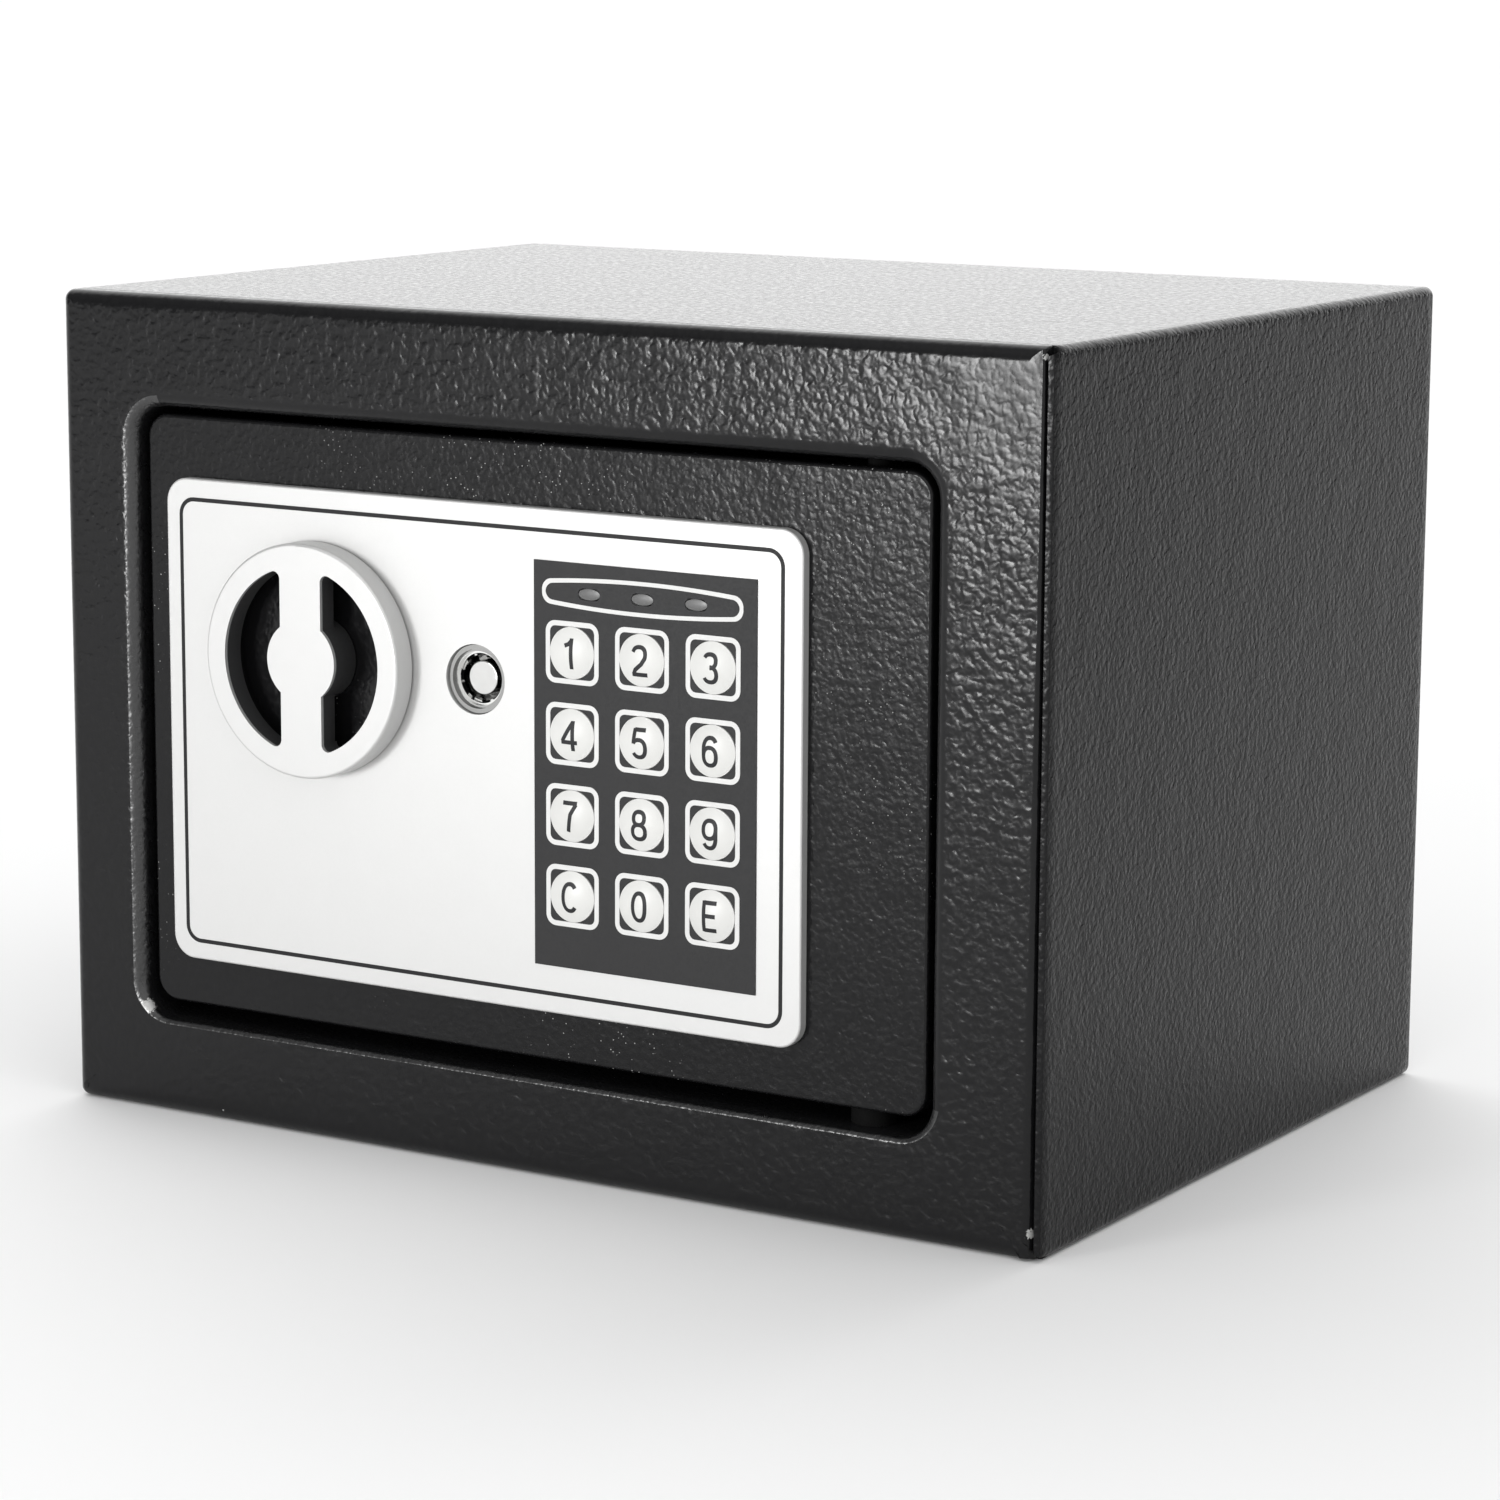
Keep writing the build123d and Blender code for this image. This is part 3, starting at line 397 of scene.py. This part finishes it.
def bend(centre, radius, start, end, steps):
    """Points on an arc in a section, from one angle to another in degrees."""
    return [(centre[0] + radius * math.cos(math.radians(start + (end - start) * k / steps)),
             centre[1] + radius * math.sin(math.radians(start + (end - start) * k / steps)))
            for k in range(steps + 1)]


def waves(point, size, height):
    """Slow unevenness of pressed sheet: offset in millimetres at a point."""
    return height * noise.noise(Vector(point) / size)


# ---------------------------------------------------------------- case

BEND = 3.0
PANEL_GAP = 0.4  # groove between the front and the right side
RAGGED = 0.25
RAGGED_PITCH = 1.3
RAGGED_REACH = 1.0
SEAM_BACK = 3.2
SEAM_SHARP, SHARP_ABOVE = 0.7, 149.5
SEAM_ROUND, ROUND_BELOW = 2.4, 19.5
SEAM_CORNER = 0.6
BOTTOM_LIP = 1.1
LOOP_STEPS = (110, 80)  # along the top and bottom, and up the sides
BEND_STEPS = 8
FACE_STEPS = 14
DEPTH_STEPS = 60
FACING_RIGHT = 0.9
FRONT_WAVES = (11.0, 0.07)  # size and height of the sheet's unevenness
SHELL_WAVES = (14.0, 0.06)
WAVES_START = 2.0
SIDE_EDGE = 0.22
HIDDEN_EDGE = 0.02
BACK_EDGE = ((0.0, 0.8), (0.15, 0.3), (0.5, 0.0))  # in from the outside, ahead of the back


def seam_radius(height):
    """The right edge is nearly sharp at the top, and rounder towards the floor."""
    down = (SHARP_ABOVE - height) / (SHARP_ABOVE - ROUND_BELOW)
    return SEAM_SHARP + (SEAM_ROUND - SEAM_SHARP) * min(1.0, max(0.0, down))


def lip_radius(outward):
    """The opening's lip is rounded all round, and pressed tighter along the bottom."""
    return BEND - (BEND - BOTTOM_LIP) * max(0.0, -outward.y)


def surround_section(rim, outward, mouth, inward):
    """Section through the front, from its rim to its flange in the opening and back behind
    the face, as (place, depth) pairs."""
    front = WRAP_LOW.y
    flange_back = FRAME_HIGH.y
    bent = seam_radius(rim.y) if outward.x > FACING_RIGHT else BEND
    turned = lip_radius(inward)
    behind = max(turned, SHEET + 0.3)
    outside = [(0.0, SEAM_BACK)] + bend((bent, bent), bent, 180, 270, BEND_STEPS)
    lip = bend((turned, turned), turned, 270, 180, BEND_STEPS)
    face_start = rim - outward * bent
    across = mouth + inward * turned - face_start
    section = [(rim - outward * inset, front + depth) for inset, depth in outside]
    section += [(face_start + across * (step / FACE_STEPS), front)
                for step in range(1, FACE_STEPS)]
    section += [(mouth + inward * inset, front + depth) for inset, depth in lip]
    section += [(mouth, flange_back), (mouth + inward * SHEET, flange_back),
                (mouth + inward * SHEET, front + behind),
                (mouth + inward * behind, front + SHEET),
                (rim - outward * BEND, front + SHEET),
                (rim - outward * SHEET, front + SEAM_BACK)]
    return section


def roughened(place, depth, right):
    """A point of the front's section, set back a little where the face ripples, and to the
    left where the right edge is ragged."""
    x, z = place
    if depth <= WRAP_LOW.y + 0.01:
        depth += abs(waves((x, depth, z), *FRONT_WAVES))
    if x > right - RAGGED_REACH:
        x -= abs(waves((0, 0, z), RAGGED_PITCH, RAGGED))
    return x, depth, z


def front_surround():
    """The front of the case: bent over at the top, left and bottom, butted against the side
    panel at the right, and returned into the opening."""
    right = WRAP_HIGH.x - SHEET - PANEL_GAP
    left = WRAP_LOW.x
    height = WRAP_HIGH.z - WRAP_LOW.z
    rims = rounded_loop(((left + right) / 2, height / 2), (right - left, height),
                        (SEAM_CORNER, CASE_CORNER, CASE_CORNER, SEAM_CORNER), LOOP_STEPS)
    mouths = rounded_loop(OPENING_CENTRE, OPENING_SIZE, (OPENING_CORNER,) * 4, LOOP_STEPS)
    points = []
    for (rim, outward), (mouth, inward) in zip(rims, mouths):
        section = surround_section(rim, outward, mouth, inward)
        points += [roughened(place, depth, right) for place, depth in section]
    around = len(section)
    piece = make_piece("front_surround", points, torus_faces(len(rims), around),
                       FRAME_COAT, "case")
    piece.data.materials.append(BEND_COAT)
    piece.data.materials.append(LIP_COAT)
    lip_left = OPENING_CENTRE[0] - OPENING_SIZE[0] / 2 + OPENING_CORNER
    lip_bottom = OPENING_CENTRE[1] - OPENING_SIZE[1] / 2 + OPENING_CORNER
    face_first = BEND_STEPS
    lip_first = BEND_STEPS + FACE_STEPS + 2
    for polygon in piece.data.polygons:
        section_places = [index % around for index in polygon.vertices]
        on_lip = min(section_places) >= lip_first
        if max(section_places) <= face_first or on_lip:
            polygon.material_index = 1
        place = polygon.center / MM
        if on_lip and (place.x < lip_left or place.z < lip_bottom):
            polygon.material_index = 2
    return piece


def case_shell():
    """Top, sides and floor. The right side's edge shows at the front, beside a groove."""
    height = WRAP_HIGH.z - WRAP_LOW.z
    width = WRAP_HIGH.x - WRAP_LOW.x
    back = WRAP_HIGH.y
    outer = rounded_loop((0.0, height / 2), (width, height), (CASE_CORNER,) * 4, LOOP_STEPS)
    points = []
    for place, outward in outer:
        at_right = outward.x > FACING_RIGHT
        front = WRAP_LOW.y + (0.0 if at_right else SEAM_BACK)
        soft = SIDE_EDGE if at_right else HIDDEN_EDGE
        length = back - BACK_EDGE[0][1] - front - soft
        section = [(0.0, front + soft + length * step / DEPTH_STEPS)
                   for step in range(DEPTH_STEPS + 1)]
        section += [(inset, back - ahead) for inset, ahead in BACK_EDGE[1:]]
        section += [(SHEET, back), (SHEET, front + soft),
                    (SHEET - soft, front), (soft, front), (soft * 0.3, front + soft * 0.3)]
        for inset, depth in section:
            flat = place - outward * inset
            if inset == 0.0 and depth >= front + WAVES_START:
                flat -= outward * abs(waves((flat.x, depth, flat.y), *SHELL_WAVES))
            points.append((flat.x, depth, flat.y))
    piece = make_piece("case_shell", points, torus_faces(len(outer), len(section)),
                       MATERIALS["black_powder_coat"], "case")
    piece.data.materials.append(SIDE_COAT)
    for polygon in piece.data.polygons:
        if abs(polygon.normal.x) > FACING_RIGHT:
            polygon.material_index = 1
    return piece


# ---------------------------------------------------------------- printing


PRINT = 0.03  # how far ink stands proud of what it is printed on
PRINT_SUNK = 0.01
BORDER_LOW = (-85.4, 36.9)
BORDER_HIGH = (58.4, 129.3)
BORDER_STROKE = 0.85
BORDER_CORNER = 3.6


def ribbon_ring(inner, outer, surface):
    """A closed line printed between two loops of (x, z) points."""
    front = surface - PRINT
    back = surface + PRINT_SUNK
    points = []
    for (in_x, in_z), (out_x, out_z) in zip(inner, outer):
        points += [(in_x, front, in_z), (out_x, front, out_z),
                   (out_x, back, out_z), (in_x, back, in_z)]
    return points, torus_faces(len(inner), 4)


def merge(parts):
    """Several (points, faces) pairs as one."""
    points, faces = [], []
    for part_points, part_faces in parts:
        faces += [tuple(index + len(points) for index in face) for face in part_faces]
        points += part_points
    return points, faces


def border_loop(inset):
    """Loop of (x, z) points of the border, shrunk by inset."""
    centre = [(low + high) / 2 for low, high in zip(BORDER_LOW, BORDER_HIGH)]
    size = [high - low - 2 * inset for low, high in zip(BORDER_LOW, BORDER_HIGH)]
    loop = rounded_loop(centre, size, (BORDER_CORNER - inset,) * 4, (12, 12))
    return [tuple(place) for place, _ in loop]


def fascia_border():
    """Black line printed round the fascia."""
    points, faces = ribbon_ring(border_loop(BORDER_STROKE), border_loop(0.0), FASCIA_LOW.y)
    return make_piece("fascia_border_print", points, faces, INK_BLACK, "door", smooth=20)


KEYS = tuple("1234567890") + ("c", "e")
KEY_FRAME = 12.25
KEY_FRAME_CORNER = 2.2
KEY_STROKE = 1.0
KEY_STROKE_CORNER = 1.2
KEY_HOLE = 5.16


def square_round(angle, half, corner):
    """Distance from the centre to a rounded square's edge, at an angle."""
    ux, uz = abs(math.cos(angle)), abs(math.sin(angle))
    flat = half / max(ux, uz)
    hub = half - corner
    along = hub * (ux + uz)
    inside = along * along - (2 * hub * hub - corner * corner)
    if min(ux, uz) * flat <= hub or inside < 0:
        return flat
    return along + math.sqrt(inside)


def key_outline(key, count=96):
    """White frame printed round one key: square outside, and clear of the round key inside."""
    centre = middle(f"key_{key}")
    inner, outer = [], []
    for step in range(count):
        angle = 2 * math.pi * step / count
        ray = (math.cos(angle), math.sin(angle))
        out = square_round(angle, KEY_FRAME / 2, KEY_FRAME_CORNER)
        within = square_round(angle, KEY_FRAME / 2 - KEY_STROKE, KEY_STROKE_CORNER)
        within = max(within, KEY_HOLE)
        inner.append((centre.x + ray[0] * within, centre.z + ray[1] * within))
        outer.append((centre.x + ray[0] * out, centre.z + ray[1] * out))
    return ribbon_ring(inner, outer, OVERLAY_LOW.y)


LENS_LEFT, LENS_RIGHT = 3.7, 49.45
LENS_MIDDLE = 117.2
LENS_HALF_HEIGHT = 3.4
LENS_BOW = 1.1
LENS_END = 2.0
LENS_STROKE = 0.8


def lens_loop(shrink, count=200):
    """Long lozenge with bowed top and bottom and rounded ends."""
    half_length = (LENS_RIGHT - LENS_LEFT) / 2 - shrink
    centre = (LENS_LEFT + LENS_RIGHT) / 2
    round_end = LENS_END - shrink / 2
    loop = []
    for step in range(count):
        angle = 2 * math.pi * (step + 0.5) / count
        along = half_length * math.copysign(abs(math.cos(angle)) ** 0.6, math.cos(angle))
        height = LENS_HALF_HEIGHT - LENS_BOW * (along / half_length) ** 2 - shrink
        into_end = max(0.0, abs(along) - (half_length - round_end)) / round_end
        height += round_end * (math.sqrt(max(0.0, 1 - into_end * into_end)) - 1)
        loop.append((centre + along, LENS_MIDDLE + math.copysign(height, math.sin(angle))))
    return loop


def overlay_outlines():
    """White frames printed round the keys and round the row of lights."""
    parts = [key_outline(key) for key in KEYS]
    parts.append(ribbon_ring(lens_loop(LENS_STROKE), lens_loop(0.0), OVERLAY_LOW.y))
    points, faces = merge(parts)
    return make_piece("overlay_outline_print", points, faces, INK_WHITE, "door", smooth=20)


# ---------------------------------------------------------------- lights' windows

LIGHT_PITCH = 12.15
LIGHT_DOME = 0.12


def oval_lenses():
    """Three domed oval windows in a row, over the lights."""
    low, high = corners("led_windows")
    centre = (low + high) / 2
    half = ((high.x - low.x) / 2 - LIGHT_PITCH, (high.z - low.z) / 2)
    around = 48
    rings = 8
    parts = []
    for number in (-1, 0, 1):
        points = []
        for ring in range(rings + 2):
            share = min(1.0, (ring + 0.5) / rings)
            depth = low.y + LIGHT_DOME * share * share if ring <= rings else high.y
            for step in range(around):
                angle = 2 * math.pi * step / around
                points.append((centre.x + number * LIGHT_PITCH + half[0] * share * math.cos(angle),
                               depth, centre.z + half[1] * share * math.sin(angle)))
        parts.append((points, tube_faces(rings + 2, around)))
    points, faces = merge(parts)
    piece = make_piece("oval_lenses", points, faces, MATERIALS["led_lens"], "door")
    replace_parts(piece, "led_windows")


# ---------------------------------------------------------------- digits on the keys

DIGIT_STROKE = 0.82
DIGIT_SUNK = 0.06
HALF_WIDE = 1.38
HALF_TALL = 2.68
KEY_RISE = 1.1  # height of a key's dome


def oval(centre, wide, tall, start, end, power=2.3):
    """Points along a squarish oval, between two angles in degrees."""
    count = max(6, int(abs(end - start) / 9))
    points = []
    for step in range(count + 1):
        angle = math.radians(start + (end - start) * step / count)
        cos, sin = math.cos(angle), math.sin(angle)
        points.append((centre[0] + wide * math.copysign(abs(cos) ** (2 / power), cos),
                       centre[1] + tall * math.copysign(abs(sin) ** (2 / power), sin)))
    return points


def six():
    """Strokes of a 6; turned half round they make a 9."""
    bowl = oval((0, -0.95), HALF_WIDE, 1.73, 180, -180)
    back = [(-HALF_WIDE, -0.95)] + oval((0.05, 0.4), 1.43, 2.28, 180, 35)
    return [bowl, back]


# Each figure's strokes, as open paths of (x, z) points about the middle of its key.
STROKES = {
    "0": lambda: [oval((0, 0), HALF_WIDE, HALF_TALL, 0, 360)],
    "1": lambda: [[(0.45, -3.02), (0.45, 3.0)], [(0.45, 2.6), (-0.1, 1.9), (-1.05, 1.5)]],
    "2": lambda: [oval((0, 1.2), 1.4, 1.48, 165, -25)
                  + [(0.55, -0.6), (-0.85, -1.75), (-1.32, -2.68)],
                  [(-1.66, -2.68), (1.75, -2.68)]],
    "3": lambda: [oval((-0.05, 1.38), 1.3, 1.3, 155, -90),
                  oval((-0.05, -1.22), 1.42, 1.46, 90, -155)],
    "4": lambda: [[(0.75, -3.02), (0.75, 2.9)], [(0.75, 2.7), (-1.65, -1.2)],
                  [(-1.9, -1.35), (1.75, -1.35)]],
    "5": lambda: [[(1.45, 2.68), (-0.95, 2.68)],
                  [(-0.92, 2.9), (-1.25, -0.1)],
                  [(-1.25, 0.05)] + oval((0, -0.98), 1.42, 1.7, 140, -150)],
    "6": six,
    "7": lambda: [[(-1.6, 2.68), (1.6, 2.68)], [(1.4, 2.5), (0.25, 0.5), (-0.35, -3.02)]],
    "8": lambda: [oval((0, 1.42), 1.2, 1.26, 0, 360), oval((0, -1.26), 1.42, 1.42, 0, 360)],
    "9": lambda: [[(-x, -z) for x, z in stroke] for stroke in six()],
    "c": lambda: [oval((0, 0), 1.5, HALF_TALL, 42, 318)],
    "e": lambda: [[(-1.25, -3.02), (-1.25, 3.02)], [(-1.25, 2.68), (1.5, 2.68)],
                  [(-1.25, 0.1), (1.3, 0.1)], [(-1.25, -2.68), (1.5, -2.68)]],
}


def resample(path, spacing=0.22):
    """The same open path with a point about every spacing."""
    points = []
    for start, end in zip(path, path[1:]):
        start, end = Vector(start), Vector(end)
        count = max(1, round((end - start).length / spacing))
        points += [start.lerp(end, step / count) for step in range(count)]
    points.append(Vector(path[-1]))
    return points


def stroke_mesh(path, centre, dome):
    """A stroke of ink that follows the key's dome."""
    track = resample(path)
    points = []
    for index, here in enumerate(track):
        before = track[max(index - 1, 0)]
        after = track[min(index + 1, len(track) - 1)]
        along = (after - before).normalized()
        side = Vector((-along.y, along.x)) * DIGIT_STROKE / 2
        for sunk, sign in ((-PRINT, -1), (-PRINT, 1), (DIGIT_SUNK, 1), (DIGIT_SUNK, -1)):
            place = here + sign * side
            points.append((centre.x + place.x, dome(place.length) + sunk, centre.z + place.y))
    return points, tube_faces(len(track), 4)


def key_digits():
    """Each key's figure, printed on its dome and moving with it."""
    for key in KEYS:
        low, high = corners(f"key_{key}")
        centre = (low + high) / 2
        radius = (high.x - low.x) / 2
        ball = (radius * radius + KEY_RISE * KEY_RISE) / (2 * KEY_RISE)
        apex = low.y

        def dome(distance):
            return apex + ball - math.sqrt(ball * ball - distance * distance)

        points, faces = merge(stroke_mesh(path, centre, dome) for path in STROKES[key]())
        make_piece(f"key_{key}_figure", points, faces, INK_DIGIT, f"key_{key}", smooth=40)


# ---------------------------------------------------------------- mat

FELT_COLUMNS, FELT_ROWS = 74, 51
ANCHORS = (Vector((-60.0, 10.0)), Vector((60.0, 10.0)))
ANCHOR_HOLE = 7.0  # radius of the holes cut in the felt
ANCHOR_REACH = 1.6  # felt this near a hole is drawn onto its edge
FELT_BELOW_TOP = 0.25
FELT_PRESSED = 0.35
FELT_ABOVE_FLOOR = 0.02
FELT_WAVES = (6.0, 0.2)  # size and height of its unevenness


def felt_place(x, y):
    """A place on the felt, drawn onto the edge of a round hole where it is near one."""
    for anchor in ANCHORS:
        away = Vector((x, y)) - anchor
        if ANCHOR_HOLE / 2 < away.length < ANCHOR_HOLE + ANCHOR_REACH:
            x, y = anchor + away.normalized() * ANCHOR_HOLE
    return x, y


def felt_top(x, y, at_edge):
    """Height of the felt's slightly uneven top, which is pressed down along its cut edges."""
    pressed = FELT_PRESSED if at_edge else 0.0
    return MAT_HIGH.z - FELT_BELOW_TOP - pressed + waves((x, y, 0), *FELT_WAVES)


def felt_mat():
    """Felt sheet cut for the floor, with a slightly uneven top and round anchor holes."""
    width, depth = MAT_HIGH.x - MAT_LOW.x, MAT_HIGH.y - MAT_LOW.y
    points, faces, index = [], [], {}
    for row in range(FELT_ROWS + 1):
        for column in range(FELT_COLUMNS + 1):
            x, y = felt_place(MAT_LOW.x + width * column / FELT_COLUMNS,
                              MAT_LOW.y + depth * row / FELT_ROWS)
            at_edge = column in (0, FELT_COLUMNS) or row in (0, FELT_ROWS)
            index[row, column] = len(points)
            points += [(x, y, felt_top(x, y, at_edge)), (x, y, MAT_LOW.z + FELT_ABOVE_FLOOR)]
    edges = []
    for row in range(FELT_ROWS):
        for column in range(FELT_COLUMNS):
            ring = (index[row, column], index[row, column + 1], index[row + 1, column + 1],
                    index[row + 1, column])
            centre = sum((Vector(points[i]) for i in ring), Vector()) / 4
            if min((centre.xy - anchor).length for anchor in ANCHORS) < ANCHOR_HOLE - 0.6:
                continue
            faces += [ring, tuple(i + 1 for i in reversed(ring))]
            edges += list(zip(ring, ring[1:] + ring[:1]))
    shared = {(b, a) for a, b in edges}
    faces += [(b, a, a + 1, b + 1) for a, b in edges if (a, b) not in shared]
    piece = make_piece("floor_felt", points, faces, MATERIALS["mat_felt"], "case")
    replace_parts(piece, "floor_mat")


# ---------------------------------------------------------------- spring

SPRING_TURNS = 4
WIRE = 0.24  # radius of the spring's wire
WIRE_ROOM = 0.25


def plunger_coil():
    """The plunger's spring, as a coil of wire in place of the CAD spring."""
    low, high = corners("plunger_spring")
    centre = (low + high) / 2
    radius = (high.x - low.x) / 2 - WIRE_ROOM
    bottom, top = low.z + WIRE_ROOM, high.z - WIRE_ROOM
    count, around = 32 * SPRING_TURNS, 8
    points = []
    for step in range(count + 1):
        turn = 2 * math.pi * step * SPRING_TURNS / count
        out = Vector((math.cos(turn), math.sin(turn), 0))
        hub = Vector((centre.x, centre.y, bottom + (top - bottom) * step / count)) + out * radius
        for place in range(around):
            angle = 2 * math.pi * place / around
            points.append(hub + WIRE * (out * math.cos(angle) + Vector((0, 0, math.sin(angle)))))
    piece = make_piece("plunger_coil", points, tube_faces(count + 1, around),
                       MATERIALS["zinc_steel"], "door")
    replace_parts(piece, "plunger_spring")
    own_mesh(piece)


# ---------------------------------------------------------------- stage, light and camera


FLOOR_SIZE = 25.0
FLOOR_BELOW = 0.02


def floor():
    """A plain pale floor, just under the safe."""
    mesh = bpy.data.meshes.new("floor")
    work = bmesh.new()
    bmesh.ops.create_grid(work, x_segments=1, y_segments=1, size=FLOOR_SIZE)
    work.to_mesh(mesh)
    work.free()
    plane = bpy.data.objects.new("floor", mesh)
    plane.location.z = (WRAP_LOW.z - FLOOR_BELOW) * MM
    mesh.materials.append(Material("floor_paper", (0.93, 0.93, 0.93), 0.9).data)
    bpy.context.scene.collection.objects.link(plane)


def soft_box(name, place, aim, width, height, power):
    """A lamp with a rectangular face, turned towards a place."""
    data = bpy.data.lights.new(name, "AREA")
    data.shape = "RECTANGLE"
    data.size = width
    data.size_y = height
    data.energy = power
    lamp = bpy.data.objects.new(name, data)
    lamp.location = place
    lamp.rotation_euler = (Vector(aim) - Vector(place)).to_track_quat("-Z", "Y").to_euler()
    bpy.context.scene.collection.objects.link(lamp)


def studio_walls(base, lobes):
    """White walls all round, brighter towards the lobes: (direction, start, end, strength)."""
    world = bpy.data.worlds.new("studio")
    world.use_nodes = True
    nodes, links = world.node_tree.nodes, world.node_tree.links
    direction = nodes.new("ShaderNodeTexCoord")
    total = None
    for towards, start, end, strength in lobes:
        facing = nodes.new("ShaderNodeVectorMath")
        facing.operation = "DOT_PRODUCT"
        facing.inputs[1].default_value = Vector(towards).normalized()
        ramp = nodes.new("ShaderNodeMapRange")
        ramp.interpolation_type = "SMOOTHSTEP"
        for socket, value in zip(("From Min", "From Max", "To Max"), (start, end, strength)):
            ramp.inputs[socket].default_value = value
        links.new(direction.outputs["Generated"], facing.inputs[0])
        links.new(facing.outputs["Value"], ramp.inputs["Value"])
        summed = nodes.new("ShaderNodeMath")
        summed.inputs[1].default_value = base
        links.new(ramp.outputs["Result"], summed.inputs[0])
        if total:
            links.new(total, summed.inputs[1])
        total = summed.outputs["Value"]
    links.new(total, nodes["Background"].inputs["Strength"])
    nodes["Background"].inputs["Color"].default_value = (1, 1, 1, 1)
    bpy.context.scene.world = world


# Brighter parts of the walls: direction, cosines where they start and are full, and strength.
WALL_BEHIND_LEFT = ((-0.55, 0.82, 0.25), 0.4, 0.85, 1.75)
CEILING_FRONT_RIGHT = ((0.6, -0.5, 0.8), 0.2, 0.9, 1.0)


def lights():
    studio_walls(0.2, [WALL_BEHIND_LEFT, CEILING_FRONT_RIGHT])
    soft_box("key_box", place=(-0.45, -1.40, 0.16), aim=(0.10, -0.085, 0.15),
             width=0.30, height=0.30, power=9.0)


def camera():
    """Camera at the object's front right, a little above it."""
    place = Vector((0.493875, -0.804853, 0.243614))
    forward = Vector((-0.51523, 0.83833, -0.17816))
    data = bpy.data.cameras.new("camera")
    data.sensor_width = 36.0
    data.lens = 109.12
    data.clip_start = 0.01
    view = bpy.data.objects.new("camera", data)
    level = forward.to_track_quat("-Z", "Y").to_matrix()
    roll = Matrix.Rotation(math.radians(0.3), 3, "Z")
    view.matrix_world = Matrix.Translation(place) @ (level @ roll).to_4x4()
    bpy.context.scene.collection.objects.link(view)
    bpy.context.scene.camera = view


dress_cad_nodes()
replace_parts(front_surround(), "front_frame")
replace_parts(case_shell(), "case_wrap")
fascia_border()
overlay_outlines()
oval_lenses()
key_digits()
felt_mat()
plunger_coil()
floor()
lights()
camera()
bpy.context.scene.view_settings.view_transform = "Standard"
